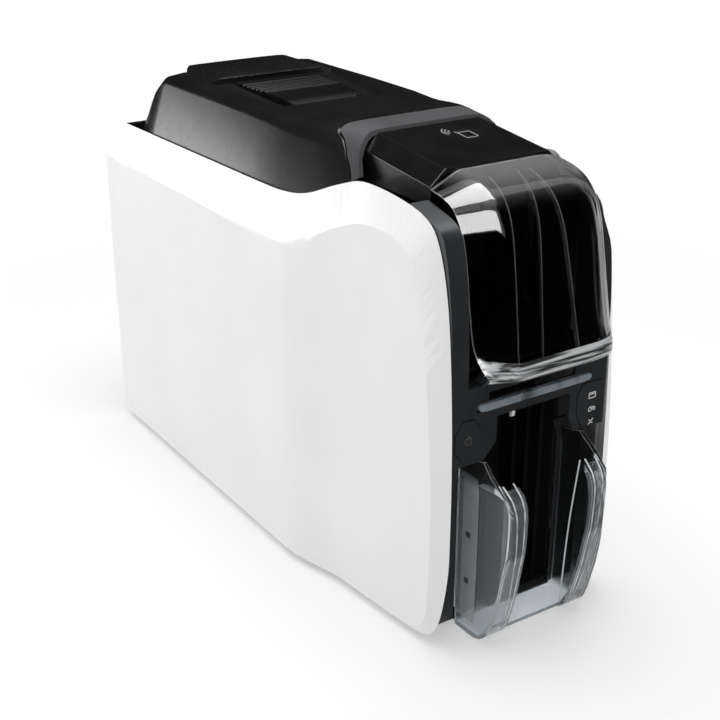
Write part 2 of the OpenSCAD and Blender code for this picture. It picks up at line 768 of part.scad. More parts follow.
module bin_section(t) {
  // view from the front: side walls lean in to the ridge
  hr = bin_half + 1.6 - t;
  polygon([[-hr + 1, 0], [-hr, 30], [-hr, bin_top - 17], [-mouth_low_half - 1 + t, bin_top + 1],
    [mouth_low_half + 1 - t, bin_top + 1], [hr, bin_top - 17], [hr, 30], [hr - 1, 0]]);
}
module bin_solid(t) {
  intersection() {
    rotate([90, 0, 90])
      translate([0, 0, -60])
        linear_extrude(120)
          bin_profile(t);
    linear_extrude(bin_top + 5)
      bin_plan(t);
    front_hole(bin_front_y - 5, step_y + 20)
      bin_section(t);
  }
}
module output_hopper() {
  gap_low = 21;
  gap_high = 21.8;
  color("#c9d6dc", 0.35)
    difference() {
      bin_solid(0);
      // inside, open at the back and at the top
      intersection() {
        bin_solid_inner();
        block(-60, 60, bin_front_y - 5, 0, bin_floor_z + bin_wall, bin_top + 20);
      }
      // space between the two front flanges
      front_hole(bin_front_y - 5, bin_front_y + 20)
        polygon([[-gap_low, bin_floor_z - 2], [gap_low, bin_floor_z - 2],
          [gap_high - 0.6, 30], [gap_high, bin_top + 5], [-gap_high, bin_top + 5],
          [-gap_high + 0.6, 30]]);
      // the top stays open between the two ridges
      block(-mouth_low_half + 0.6, mouth_low_half - 0.6, bin_front_y + 8, step_y + 5,
        bin_top - 34, bin_top + 8);
    }
}
module bin_solid_inner() {
  y = bin_front_y + bin_wall;
  intersection() {
    rotate([90, 0, 90])
      translate([0, 0, -60])
        linear_extrude(120)
          polygon([[step_y + 8, bin_floor_z - 3], [step_y + 8, bin_top + 9],
            [bin_front_y + 23, bin_top + 9], [bin_front_y + 5.2, bin_top - 17],
            [y, bin_top - 27], [y + 0.6, 62], [y + 2.8, 50], [y + 5.6, 34], [y + 10.4, 16],
            [y + 15, 7], [y + 24, bin_floor_z - 3]]);
    linear_extrude(bin_top + 5)
      bin_plan(bin_wall);
    front_hole(bin_front_y - 5, step_y + 20)
      bin_section(bin_wall);
  }
}

// ---- side frames and what they carry ----
bush_r = shaft_r + 1.5;
stud_r = 2.5;
DRIVEN = [pick_y, clean_y, feed_y, platen_y, exit_y];
PINCH = [feed_y, exit_y];
front_idler_y = feed_y + (roller_teeth + front_idler_teeth) / 2;
rear_idler_y = platen_y + (roller_teeth + rear_idler_teeth) / 2;
pick_idler_y = pick_y + (roller_teeth + pick_idler_teeth) / 2;
clean_idler_y = clean_y + (roller_teeth + clean_idler_teeth) / 2;
pinion_z = axle_z - (rear_idler_teeth + pinion_teeth) / 2;
ear_r = 6;
module frame_outline() {
  difference() {
    union() {
      polygon([[frame_y0 + 30, frame_z0], [frame_y1, frame_z0], [frame_y1, path_z + 32],
        [frame_y1 - 14, path_z + 35], [hinge_y - 16, path_z + 38],
        [hinge_y - 34, frame_z1], [frame_y0 + 44, frame_z1], [frame_y0 + 28, path_z + 10],
        [frame_y0, path_z + 6], [frame_y0, axle_z - 16], [frame_y0 + 30, axle_z - 40]]);
      // neck and ear of the lid hinge
      hull() {
        translate([hinge_y, hinge_z])
          circle(r = ear_r, $fn = 32);
        translate([hinge_y - 22, path_z + 36])
          circle(r = 8, $fn = 32);
      }
      // ear of the latch stud
      hull() {
        translate([latch_y + 4, stud_z])
          circle(r = 5, $fn = 32);
        translate([latch_y + 4, frame_z1 - 8])
          circle(r = 12, $fn = 32);
      }
    }
    // lightening windows
    translate([platen_y - 64, axle_z - 96])
      square([46, 60]);
    translate([rear_idler_y + 40, axle_z - 110])
      square([50, 86]);
    translate([exit_y + 26, path_z - 6])
      square([30, 30]);
  }
}
module frame_plate() {
  difference() {
    translate([frame_in, 0, 0])
      rotate([90, 0, 90])
        linear_extrude(frame_t)
          frame_outline();
    for (y = DRIVEN)
      xcyl(bush_r + 0.02, 0, frame_out + 1, y, axle_z);
    for (y = PINCH)
      xcyl(2.2 + run_gap, 0, frame_out + 1, y, pinch_z);
    for (q = [[takeup_y, takeup_z], [supply_y, supply_z]])
      xcyl(4 + run_gap, 0, frame_out + 1, q[0], q[1]);
    xcyl(hinge_pin_r + 0.02, 0, frame_out + 1, hinge_y, hinge_z);
    for (q = TIE_BARS)
      xcyl(1.6, 0, frame_out + 1, q[0], q[1]);
  }
  // foot flange and flange of the rear panel
  difference() {
    block(frame_in - 9, frame_in, frame_y0 + 34, frame_y1 - 78, frame_z0, frame_z0 + frame_t);
    for (y = FLANGE_Y)
      translate([frame_in - 5, y, frame_z0 - 1])
        cylinder(r = 1.7, h = frame_t + 2);
  }
  difference() {
    block(frame_in - 9, frame_in, frame_y1 - frame_t, frame_y1, path_z + 4, path_z + 39);
    ycyl(1.5, frame_y1 - 5, frame_y1 + 1, frame_in - 4, rear_screw_z);
  }
  // stud that the lid latch hooks under
  xcyl(stud_r, frame_in - 9, frame_in, latch_y + 4, stud_z);
}
FLANGE_Y = [30, 92];
TIE_BARS = [[frame_y0 + 10, axle_z - 12], [-20, 40], [frame_y1 - 20, 60], [hinge_y - 22, path_z + 34]];
GUIDE_BARS = [platen_y - 15, platen_y + 15];
guide_bar_r = 2.4;
guide_bar_z = ribbon_z + ribbon_t + 0.3 + guide_bar_r;
module left_frame() {
  color("#b9bcc0")
    mirror([1, 0, 0])
      frame_plate();
}
module right_frame() {
  color("#b9bcc0")
    union() {
      difference() {
        frame_plate();
        // pilot of the feed motor
        xcyl(11.2, 0, frame_out + 1, rear_idler_y, pinion_z);
      }
      // riveted studs of the idler gears
      for (y = [pick_idler_y, clean_idler_y, front_idler_y, rear_idler_y]) {
        xcyl(stud_r, frame_out - 1, gear_x0 + gear_w + 0.4, y, axle_z);
        xcyl(stud_r + 0.9, frame_out - 1, gear_x0 - 0.4, y, axle_z);
      }
    }
}
module tie_bars() {
  color("silver") {
    for (q = TIE_BARS)
      difference() {
        xcyl(3.5, -frame_in, frame_in, q[0], q[1]);
        xcyl(1.3, -frame_in - 1, -frame_in + 12, q[0], q[1]);
        xcyl(1.3, frame_in - 12, frame_in + 1, q[0], q[1]);
      }
    for (y = GUIDE_BARS)
      xcyl(guide_bar_r, -frame_in, frame_in, y, guide_bar_z);
  }
}
module frame_screws() {
  color("#8d9095") {
    both_sides() {
      // into the tie bars
      for (q = TIE_BARS)
        union() {
          xcyl(1.25, frame_in - 8, frame_out, q[0], q[1]);
          xcyl(2.8, frame_out, frame_out + 1.8, q[0], q[1]);
        }
      // through the foot flanges into the base tray
      for (y = FLANGE_Y)
        translate([frame_in - 5, y, frame_z0 + frame_t])
          cylinder(r = 2.8, h = 1.8);
      // side panels to the base tray
      for (y = PANEL_SCREW_Y)
        union() {
          xcyl(1.5, tray_x - 3.5, side_x - panel_wall - 0.3, y, screw_z);
          xcyl(2.8, tray_x - 4.3, tray_x - 2.5, y, screw_z);
        }
    }
  }
}
module shaft_bushes() {
  color("#c9a25a")
    both_sides()
      for (y = DRIVEN)
        difference() {
          union() {
            xcyl(bush_r, frame_in, frame_out, y, axle_z);
            xcyl(bush_r + 1.2, frame_out, frame_out + 1, y, axle_z);
          }
          xcyl(shaft_r + run_gap, 0, frame_out + 5, y, axle_z);
        }
}
module roller(y, r, half, groove = 0) {
  color("#2a2a2c")
    difference() {
      xcyl(r, -half, half, y, axle_z);
      xcyl(shaft_r, -half - 1, half + 1, y, axle_z);
      for (x = [-half + 6 : 6 : half - 5])
        if (groove > 0)
          difference() {
            xcyl(r + 1, x - 0.6, x + 0.6, y, axle_z);
            xcyl(r - groove, x - 1, x + 1, y, axle_z);
          }
    }
}
module shaft(y) {
  color("silver")
    union() {
      xcyl(shaft_r, -frame_out - 2.4, gear_x0 + gear_w + 1.2, y, axle_z);
      gear(roller_teeth, gear_x0, gear_x0 + gear_w, y, axle_z, shaft_r - 0.5);
      xcyl(shaft_r + 2, frame_out + 1.3, gear_x0 + 0.5, y, axle_z);
    }
}
module pick_roller() { roller(pick_y, roller_r + 0.6, 12, 0.5); }
module pick_shaft() { shaft(pick_y); }
module cleaning_roller() { roller(clean_y, roller_r, 26); }
module cleaning_shaft() { shaft(clean_y); }
module feed_roller() { roller(feed_y, roller_r, 24); }
module feed_shaft() { shaft(feed_y); }
module platen_roller() { roller(platen_y, roller_r, 28); }
module platen_shaft() { shaft(platen_y); }
module exit_roller() { roller(exit_y, roller_r, 24); }
module exit_shaft() { shaft(exit_y); }
module pinch_roller(y) {
  color("#3a3a3d")
    union() {
      xcyl(2.2, -frame_out - 1, frame_out + 1, y, pinch_z);
      for (x = [-18, 0, 18])
        xcyl(pinch_r, x - 5, x + 5, y, pinch_z);
    }
}
module front_pinch_roller() { pinch_roller(feed_y); }
module rear_pinch_roller() { pinch_roller(exit_y); }
module idler(y, teeth) {
  color("ivory")
    difference() {
      union() {
        gear(teeth, gear_x0, gear_x0 + gear_w, y, axle_z, stud_r + run_gap, 1);
      }
      // dished web of a large gear
      if (teeth > 30)
        difference() {
          xcyl(teeth / 2 - 4, gear_x0 + gear_w - 1.5, gear_x0 + gear_w + 1, y, axle_z);
          xcyl(stud_r + 3, gear_x0, gear_x0 + gear_w + 2, y, axle_z);
        }
      if (teeth > 30)
        for (a = [0 : 60 : 300])
          xcyl(3.2, gear_x0 - 1, gear_x0 + gear_w + 1,
            y + (teeth / 4 + 1) * cos(a), axle_z + (teeth / 4 + 1) * sin(a));
    }
}
module pick_idler() { idler(pick_idler_y, pick_idler_teeth); }
module clean_idler() { idler(clean_idler_y, clean_idler_teeth); }
module front_idler() { idler(front_idler_y, front_idler_teeth); }
module rear_idler() { idler(rear_idler_y, rear_idler_teeth); }
module feed_motor() {
  x0 = frame_in - 36;
  color("#4a4c50")
    union() {
      // body with chamfered corners
      translate([x0, rear_idler_y, pinion_z])
        rotate([90, 0, 90])
          linear_extrude(frame_in - x0)
            polygon([[-21, -17], [-17, -21], [17, -21], [21, -17],
              [21, 17], [17, 21], [-17, 21], [-21, 17]]);
      xcyl(11, frame_in - 1, frame_in + 2, rear_idler_y, pinion_z);
      xcyl(13, x0 - 1.2, x0 + 1, rear_idler_y, pinion_z);
    }
}
module motor_pinion() {
  color("#c9a25a")
    union() {
      gear(pinion_teeth, gear_x0, gear_x0 + gear_w, rear_idler_y, pinion_z, 1.5, 1);
      xcyl(2.4, frame_in + 2.4, gear_x0 + gear_w, rear_idler_y, pinion_z);
    }
}

// ---- ribbon ----
takeup_gear_x = -(frame_out + 2.5 + gear_w);
module spool(y, z, roll_r) {
  union() {
    xcyl(7, -36, 36, y, z);
    xcyl(roll_r, -ribbon_half, ribbon_half, y, z);
    both_sides() {
      xcyl(4, 35, frame_out + 1.2, y, z);
      difference() {
        xcyl(10.5, 33, 35, y, z);
        for (a = [0 : 60 : 300])
          xcyl(1.6, 32, 36, y + 8.4 * cos(a), z + 8.4 * sin(a));
      }
    }
  }
}
module supply_spool() {
  color("#3c2a4a")
    spool(supply_y, supply_z, supply_roll_r);
}
module takeup_spool() {
  color("#2c2a35")
    union() {
      spool(takeup_y, takeup_z, takeup_roll_r);
      gear(takeup_teeth, takeup_gear_x, takeup_gear_x + gear_w, takeup_y, takeup_z, 2);
      xcyl(4, takeup_gear_x, -frame_out, takeup_y, takeup_z);
      xcyl(7, takeup_gear_x + gear_w - 0.5, -frame_out - 1.4, takeup_y, takeup_z);
    }
}
function film_turn(y, a) =
  let (r = guide_bar_r + ribbon_t + 0.15) [y + r * cos(a), guide_bar_z + r * sin(a)];
function film_path() = [
  [takeup_y + (takeup_roll_r + 0.5) * cos(-24), takeup_z + (takeup_roll_r + 0.5) * sin(-24)],
  for (a = [215, 240, 270]) film_turn(GUIDE_BARS[0], a),
  [platen_y - 11, ribbon_z], [platen_y + 11, ribbon_z],
  for (a = [270, 300, 325]) film_turn(GUIDE_BARS[1], a),
  [supply_y + (supply_roll_r + 0.5) * cos(201), supply_z + (supply_roll_r + 0.5) * sin(201)]];
module ribbon_film() {
  P = film_path();
  N = [for (i = [0 : len(P) - 1]) let (d = tangent(P, i)) [-d[1], d[0]]];
  color("#5a4a2c")
    xprism(concat(P, [for (i = [len(P) - 1 : -1 : 0]) P[i] + ribbon_t * N[i]]),
      -ribbon_half, ribbon_half);
}
module ribbon_pinion() {
  color("#c9a25a")
    union() {
      gear(pinion_teeth, takeup_gear_x, takeup_gear_x + gear_w, ribbon_pinion_y,
        takeup_z, 1.5, 1);
      xcyl(2, takeup_gear_x - 0.6, takeup_gear_x + gear_w, ribbon_pinion_y, takeup_z);
    }
}
module ribbon_motor() {
  x1 = takeup_gear_x - 1;
  color("#55585d")
    union() {
      xcyl(9.5, x1 - 14, x1 - 1.5, ribbon_pinion_y, takeup_z);
      // bracket plate and its posts
      difference() {
        block(x1 - 1.5, x1, ribbon_pinion_y - 12, ribbon_pinion_y + 20,
          takeup_z - 12, takeup_z + 12);
        xcyl(2.4, x1 - 3, x1 + 1, ribbon_pinion_y, takeup_z);
      }
      for (z = [-8, 8])
        xcyl(3, x1 - 1, -frame_out, ribbon_pinion_y + 15, takeup_z + z);
    }
}
module card_guides() {
  y0 = tray_back_y + 3;
  y1 = exit_y + 60;
  xi = card_w / 2 - 1.4;
  color("#26272a")
    both_sides()
      difference() {
        union() {
          block(xi, xi + 5, y0, y1, path_z - 1.6, path_z + 3);
          // web to the side frame
          for (q = [[clean_y + 8, feed_y - 7], [platen_y - 50, platen_y - 10],
            [platen_y + 10, exit_y - 10], [exit_y + 10, y1]])
            block(xi + 4, frame_in, q[0], q[1], path_z - 1.6, path_z - 0.2);
        }
        // groove for the card's edge
        block(xi - 1, card_w / 2 + 0.4, y0 - 1, y1 + 1, path_z, path_z + 1.4);
        // rollers, pressure rollers and the print head reach in here
        for (y = [clean_y, feed_y, exit_y])
          block(xi - 1, xi + 2.5, y - 8, y + 8, path_z - 4, path_z + 4);
        block(xi - 1, xi + 7, platen_y - 18, platen_y + 18, path_z - 4, path_z + 4);
      }
}
module hinge_pins() {
  color("silver")
    both_sides()
      union() {
        xcyl(hinge_pin_r, frame_in - 8, frame_out + 0.2, hinge_y, hinge_z);
        xcyl(hinge_pin_r + 1.8, frame_out, frame_out + 1.6, hinge_y, hinge_z);
      }
}

// ---- lid ----
// sections from the rear to the front: [y, half width and height of the
// skirt's edge, half width and height of the shoulder, shoulder size, top
// height, lean of the section]
bz = back_y - 191;
az = arch_y + 54;
lz = lid_z - 257.8;
sx = skirt_x - 66.4;
LID = [
  [184 + bz, 36 + sx, 215 + lz, 33 + sx, 218.6 + lz, 2, 218.8 + lz, 0],
  [181 + bz, 46 + sx, 215 + lz, 41 + sx, 220 + lz, 3, 220.4 + lz, 0],
  [176 + bz, 52.5 + sx, 215 + lz, 46.5 + sx, 222.6 + lz, 4, 223.2 + lz, 0],
  [168 + bz, 57.6 + sx, 215 + lz, 50.4 + sx, 228.4 + lz, 5, 229.4 + lz, 0],
  [160 + bz, 61 + sx, 215 + lz, 52.4 + sx, 236.4 + lz, 5, 237.8 + lz, 0],
  [152 + bz, 63.4 + sx, 215.2 + lz, 53.4 + sx, 244 + lz, 5, 245.8 + lz, 0],
  [143 + bz, 65.2 + sx, 215.4 + lz, 54 + sx, 249.8 + lz, 5, 251.8 + lz, 0],
  [134 + bz, 66.2 + sx, 215.6 + lz, 54.4 + sx, 252.1 + lz, 4.5, 254.2 + lz, 0],
  [60, 66.4 + sx, 216 + lz, 54.2 + sx, 252.3 + lz, 4, 254.4 + lz, 0],
  [12 + az, 66.4 + sx, 216.5 + lz, 53.6 + sx, 252 + lz, 4, 254.2 + lz, 0],
  [-6 + az, 66.4 + sx, 216.8 + lz, 52.6 + sx, 251.8 + lz, 5, 254 + lz, -0.03],
  [-18 + az, 65.6 + sx, 218 + lz, 51.4 + sx, 253 + lz, 7, 254.8 + lz, -0.14],
  [-30 + az, 63.4 + sx, 220.6 + lz, 50.2 + sx, 255 + lz, 9, 256.2 + lz, -0.33],
  [-42 + az, 59.8 + sx, 225 + lz, 49 + sx, 256.4 + lz, 11, 257.4 + lz, -0.58],
  [-52 + az, 54.8 + sx, 230.4 + lz, 48.2, 256.8 + lz, 12.5, 257.8 + lz, -0.72],
  [-56 + az, 52.4 + sx, 232.6 + lz, 47.4, 256.6 + lz, 12.5, 257.6 + lz, -0.74],
  [-69 + az, deck_half + 8, 236 + lz, deck_half + 2.2, 256.2 + lz, 10, 257 + lz, -0.45]];
function lid_ring(r, t) =
  let (a = [r[1] - t, r[2] - (t > 0 ? 7 : 0)], k = [r[3] - 0.9 * t, r[4] - t],
    rr = max(r[5] - 0.4 * t, 1),
    rise = r[6] - r[4], p1 = k + unit(a - k) * rr, p2 = k + [-rr, rise * 0.5],
    half = concat([a], [for (i = [0 : 4]) bez(p1, k + [-0.3 * rr, rise * 0.1], p2, i / 4)],
      [k + [-rr - 7, rise * 0.9]]))
  concat([for (q = half) [q[0], r[0] + r[7] * (r[6] - q[1]), q[1]]],
    [[0, r[0], r[6] - t]],
    [for (i = [len(half) - 1 : -1 : 0]) let (q = half[i])
      [-q[0], r[0] + r[7] * (r[6] - q[1]), q[1]]]);
module lid_solid(t) {
  shift = function (r, i) t == 0 ? r
    : i == 0 ? [r[0] - 2.6, r[1], r[2], r[3], r[4], r[5], r[6], r[7]]
    : i == len(LID) - 1 ? [r[0] - 5, r[1], r[2], r[3], r[4], r[5], r[6], r[7]]
    : r;
  loft([for (i = [0 : len(LID) - 1]) lid_ring(shift(LID[i], i), t)]);
}
module hump() {
  h = hump_half;
  z = lid_z - 0.2;
  side = [[h + 8, plateau_z - 12], [h + 5, plateau_z - 0.4], [h, z - 3.6], [h - 4, z - 1.7],
    [h - 11, z - 0.8], [h - 24, z - 0.1]];
  intersection() {
    xprism([[hump_y0 - 6, plateau_z - 2], [hump_y0 - 5, plateau_z + 1.8],
      [hump_y0, lid_z - 1], [hump_y0 + 3, lid_z], [hump_y1 - 4, lid_z],
      [hump_y1 + 2, lid_z - 1.6], [hump_y1 + 18, lid_z - 22], [hump_y1 + 8, plateau_z - 12]],
      -60, 60);
    front_hole(hump_y0 - 10, hump_y1 + 20)
      polygon(concat(side, [for (i = [len(side) - 1 : -1 : 0]) [-side[i][0], side[i][1]]]));
    // rounded plan
    linear_extrude(lid_z + 5)
      polygon([[-h - 8, hump_y0 - 10], [h + 8, hump_y0 - 10], [h + 5, hump_y1 - 14],
        [h - 2, hump_y1 - 2], [h - 14, hump_y1 + 12], [14 - h, hump_y1 + 12],
        [2 - h, hump_y1 - 2], [-h - 5, hump_y1 - 14]]);
  }
}
pocket_z = plateau_z - 14;
module button_plan(g) {
  // tapers to the front, with round front corners
  r = 8;
  hull() {
    translate([-button_half - g, button_y1 - 2 + g])
      square([2 * (button_half + g), 2]);
    for (s = [-1, 1])
      translate([s * (button_half - 3 - r), button_y0 + r])
        circle(r = r + g, $fn = 32);
  }
}
// dished field round the button, deepest at the front of the button
module dish(g) {
  z = plateau_z;
  intersection() {
    xprism([[button_y1 + 3 + g, z + 6], [button_y1 + 3 + g, z - 0.4 - g],
      [button_y0, z - 4.6 - g], [button_y0 - 10 - g, z - 2.4 - g],
      [button_y0 - 18 - g, z + 2.2], [button_y0 - 18 - g, z + 6]], -60, 60);
    front_hole(button_y0 - 30, button_y1 + 20)
      polygon([[-button_half - 6 - g, z - 8], [-button_half - 17 - g, z + 3],
        [button_half + 17 + g, z + 3], [button_half + 6 + g, z - 8]]);
  }
}
// crease that sets the arch at the front apart from the rest of the lid
module arch_crease() {
  w = 1.1;
  deep = 0.9;
  P = smooth([[arch_y + 4, lid_z + 4], [arch_y + 4, lid_z - 2.8], [arch_y - 5, lid_z - 6.8],
    [arch_y - 13, lid_z - 13.5], [arch_y - 19.4, lid_z - 22.4], [arch_y - 23, lid_z - 34]], 4);
  n = len(P) - 1;
  difference() {
    intersection() {
      lid_solid(0);
      xprism(concat([for (i = [0 : n]) let (v = tangent(P, i)) P[i] + w / 2 * [v[1], -v[0]]],
        [for (i = [n : -1 : 0]) let (v = tangent(P, i)) P[i] - w / 2 * [v[1], -v[0]]]),
        -side_x, side_x);
    }
    lid_solid(deep);
  }
}
module lid_shell() {
  color("#3a3c3f")
    difference() {
      union() {
        difference() {
          union() {
            lid_solid(0);
            hump();
          }
          lid_solid(shell_wall);
        }
        intersection() {
          lid_solid(0);
          dish(shell_wall);
        }
        // tub of the button pocket
        translate([0, 0, pocket_z - 2])
          linear_extrude(plateau_z - pocket_z + 1)
            button_plan(pass_gap + 2);
      }
      // pocket
      translate([0, 0, pocket_z])
        linear_extrude(30)
          button_plan(pass_gap);
      dish(0);
      arch_crease();
      // window for the lever of the latch
      block(-4, 4, button_y0 + 1, button_y0 + 12, pocket_z - 3, pocket_z + 1);
    }
}
module release_button() {
  y0 = button_y0;
  y1 = button_y1;
  top = plateau_z;
  ribs = 6;
  pitch = 5;
  color("#2e3033")
    difference() {
      intersection() {
        xprism(concat([[y0, pocket_z + button_travel + 0.6], [y0, top - 5.6], [y0 + 4, top - 3.6],
          [y0 + 24, top - 1.6]],
          [for (i = [0 : ribs - 1]) for (q = [[0, -1.2], [0.8, -0.3], [2.8, -0.3], [3.6, -1.2]])
            [y0 + 27 + i * pitch + q[0], top + q[1] + 0.22 * i]],
          [[y1, top + 0.6], [y1, pocket_z + button_travel + 0.6]]), -40, 40);
        translate([0, 0, pocket_z - 5])
          linear_extrude(40)
            button_plan(0);
      }
      // hollow underside with the spring seat
      difference() {
        translate([0, 0, pocket_z - 1])
          linear_extrude(8)
            button_plan(-2.4);
        translate([0, (y0 + y1) / 2, pocket_z])
          cylinder(r = 6.4, h = 12);
        block(-6, 6, y0 + 2, y0 + 10, pocket_z, pocket_z + 12);
      }
      translate([0, (y0 + y1) / 2, pocket_z])
        cylinder(r = 4.8, h = spring_top - pocket_z);
    }
}
spring_top = plateau_z - 4.4;
module button_spring() {
  // coil of round wire on the floor of the pocket
  r = 3.8;
  w = 0.45;
  turns = 5;
  sides = 6;
  steps = 14;
  h = spring_top - pocket_z - 2 * w - 0.2;
  n = turns * steps;
  y = (button_y0 + button_y1) / 2;
  color("silver")
    loft([for (i = [0 : n]) let (a = i * 360 / steps, z = pocket_z + w + 0.1 + h * i / n)
      [for (j = [0 : sides - 1]) let (b = -j * 360 / sides)
        [(r + w * cos(b)) * cos(a), y + (r + w * cos(b)) * sin(a), z + w * sin(b)]]]);
}
frame_plate_z = lid_z - 40;
module lid_frame() {
  xe = skirt_x - shell_wall - 7.6;
  y0 = arch_y + 36;
  y1 = back_y - 23;
  y_wide = back_y - 41;
  color("#2a2b2e")
    difference() {
      union() {
        block(-xe, xe, y0, y_wide, frame_plate_z, frame_plate_z + 2.4);
        block(7.6 - xe, xe - 7.6, y0, y1, frame_plate_z, frame_plate_z + 2.4);
        // stiffening ribs
        for (x = [-xe, xe - 2])
          block(x, x + 2, y0, y_wide - 4, frame_plate_z, frame_plate_z + 10);
        for (y = [y0, hump_y0 + 10])
          block(-xe, xe, y, y + 2, frame_plate_z, frame_plate_z + 12);
        // hinge knuckles
        both_sides()
          hull() {
            xcyl(ear_r, frame_in - 8.4, frame_in - 1, hinge_y, hinge_z);
            block(frame_in - 8.4, frame_in - 1, hinge_y - 10, hinge_y + 6,
              frame_plate_z, frame_plate_z + 2.4);
          }
        // bearings of the latch shaft and of the head carrier
        both_sides() {
          block(frame_in - 13, frame_in - 10.4, latch_y - 5, latch_y + 5,
            frame_plate_z, latch_z + 5);
          block(head_half + 1.6, head_half + 4.2, head_pivot_y - 5, head_pivot_y + 5,
            head_pivot_z - 5, frame_plate_z + 1);
        }
        // pillars up to the lid shell
        both_sides()
          for (y = [latch_y + 20, hump_y0])
            translate([xe - 10, y, frame_plate_z])
              cylinder(r = 3, h = plateau_z - shell_wall - 1.6 - frame_plate_z);
      }
      // window over the print head and the ribbon
      block(-frame_in + 14, frame_in - 14, y0 + 12, hump_y0 + 2,
        frame_plate_z - 1, frame_plate_z + 4);
      // slots that clear the side frames, the latch hooks and studs
      both_sides() {
        block(frame_in - 0.6, frame_out + 2.2, hinge_y - 34, y1 + 1,
          frame_plate_z - 1, frame_plate_z + 14);
        block(frame_in - 10, frame_in - 0.6, latch_y - 7, latch_y + 12,
          frame_plate_z - 1, frame_plate_z + 4);
      }
      block(-frame_in + 8.8, frame_in - 8.8, hinge_y - 12, y1 + 1,
        frame_plate_z - 1, frame_plate_z + 3);
      xcyl(hinge_pin_r + run_gap, -frame_in, frame_in, hinge_y, hinge_z);
      xcyl(2.5 + run_gap, -frame_in, frame_in, latch_y, latch_z);
      xcyl(2.5 + run_gap, -frame_in, frame_in, head_pivot_y, head_pivot_z);
    }
}
hook_tip_y = latch_y + 4 - stud_r - 0.6;
lever_y = button_y0 + 6;
module latch_bar() {
  color("#8f9398") {
    union() {
      xcyl(2.5, -frame_in + 2.4, frame_in - 2.4, latch_y, latch_z);
      // hooks on both ends
      both_sides()
        xprism([[latch_y - 3, latch_z + 3], [latch_y + 3, latch_z + 3],
          [hook_tip_y - 0.8, latch_z - 6], [hook_tip_y - 0.8, stud_z - 1.4],
          [hook_tip_y, stud_z - 2.4], [hook_tip_y, stud_z - 4.6],
          [hook_tip_y - 2.6, stud_z - 6.4], [hook_tip_y - 5.4, stud_z - 3],
          [latch_y - 3.4, latch_z - 8]], frame_in - 8, frame_in - 4.6);
      // lever under the front of the button
      xprism([[latch_y - 1, latch_z + 2.4], [latch_y + 2, latch_z - 2.2],
        [lever_y, pocket_z - 6], [lever_y + 3, pocket_z - 3], [lever_y + 3, pocket_z + 2.6],
        [lever_y - 1, pocket_z + 2.6], [lever_y - 1, pocket_z - 2.6],
        [lever_y - 3, pocket_z - 4]], -3, 3);
    }
  }
}
head_half = card_w / 2 + 4;
head_z = ribbon_z + ribbon_t + 0.35;
module head_carrier() {
  color("#9a9da2")
    difference() {
      union() {
        xcyl(2.5, -head_half - 4.4, head_half + 4.4, head_pivot_y, head_pivot_z);
        // side arms
        both_sides()
          xprism([[head_pivot_y + 4, head_pivot_z + 1], [head_pivot_y, head_pivot_z + 4.6],
            [platen_y - 7, head_z + 21], [platen_y - 8, head_z + 10],
            [platen_y + 8, head_z + 10], [platen_y + 13, head_z + 20],
            [head_pivot_y + 4, head_pivot_z - 3]], head_half - 1.4, head_half + 1);
        // cross plate over the heat sink
        block(-head_half + 1, head_half - 1, platen_y - 7.6, platen_y + 8,
          head_z + 12.4, head_z + 14.4);
        block(-head_half + 1, head_half - 1, platen_y - 7.6, platen_y - 5.6,
          head_z + 12.4, head_z + 20);
      }
      for (x = [-14, 14])
        translate([x, platen_y + 1, head_z + 8])
          cylinder(r = 1.7, h = 20);
    }
}
module print_head() {
  // ceramic board with the raised print line over the platen
  color("#d8d2c0")
    union() {
      block(-head_half + 2, head_half - 2, platen_y - 7, platen_y + 9, head_z + 0.8, head_z + 3.4);
      intersection() {
        xcyl(3.2, -card_w / 2 - 0.5, card_w / 2 + 0.5, platen_y, head_z + 3.2);
        block(-60, 60, platen_y - 5, platen_y + 5, head_z, head_z + 3.2);
      }
      // driver chips
      for (x = [-20 : 10 : 20])
        block(x - 3.5, x + 3.5, platen_y + 4.2, platen_y + 7.4, head_z, head_z + 1);
    }
}
module head_heat_sink() {
  color("#b9bcc0")
    union() {
      block(-head_half + 2, head_half - 2, platen_y - 7, platen_y + 9, head_z + 3.4, head_z + 5.6);
      for (i = [0 : 5])
        block(-head_half + 2, head_half - 2, platen_y - 6.6 + i * 2.8, platen_y - 5.4 + i * 2.8,
          head_z + 5.4, head_z + 12.4);
    }
}

// ---- input door ----
// side view, from the top edge to the bottom lip, at the middle of the door
// and at its sides
dz = body_h - 257.8;
dp = path_z - 157;
dy = 169 - front_y;
DOOR = smooth([
  // middle y, z, side y, z
  [dy - 129.6, 248.6 + dz, dy - 129.6, 241 + dz],
  [dy - 144, 246.6 + dz, dy - 138, 239.6 + dz],
  [dy - 154, 242.6 + dz, dy - 146.5, 236.4 + dz],
  [dy - 162, 235.6 + dz, dy - 152.6, 230 + dz],
  [dy - 168, 224 + dz, dy - 157, 221 + dz],
  [dy - 172.6, 207.5, dy - 160.4, 206],
  [dy - 176.8, 189.5, dy - 163.2, 189],
  [dy - 181, 171 + dp, dy - 167, 171.5 + dp],
  [dy - 184.4, 159 + dp, dy - 174, 161.4 + dp],
  [dy - 183.6, 154.6 + dp, dy - 177.4, 156.6 + dp],
  [dy - 179, 153 + dp, dy - 175.8, 154.2 + dp]], 3);
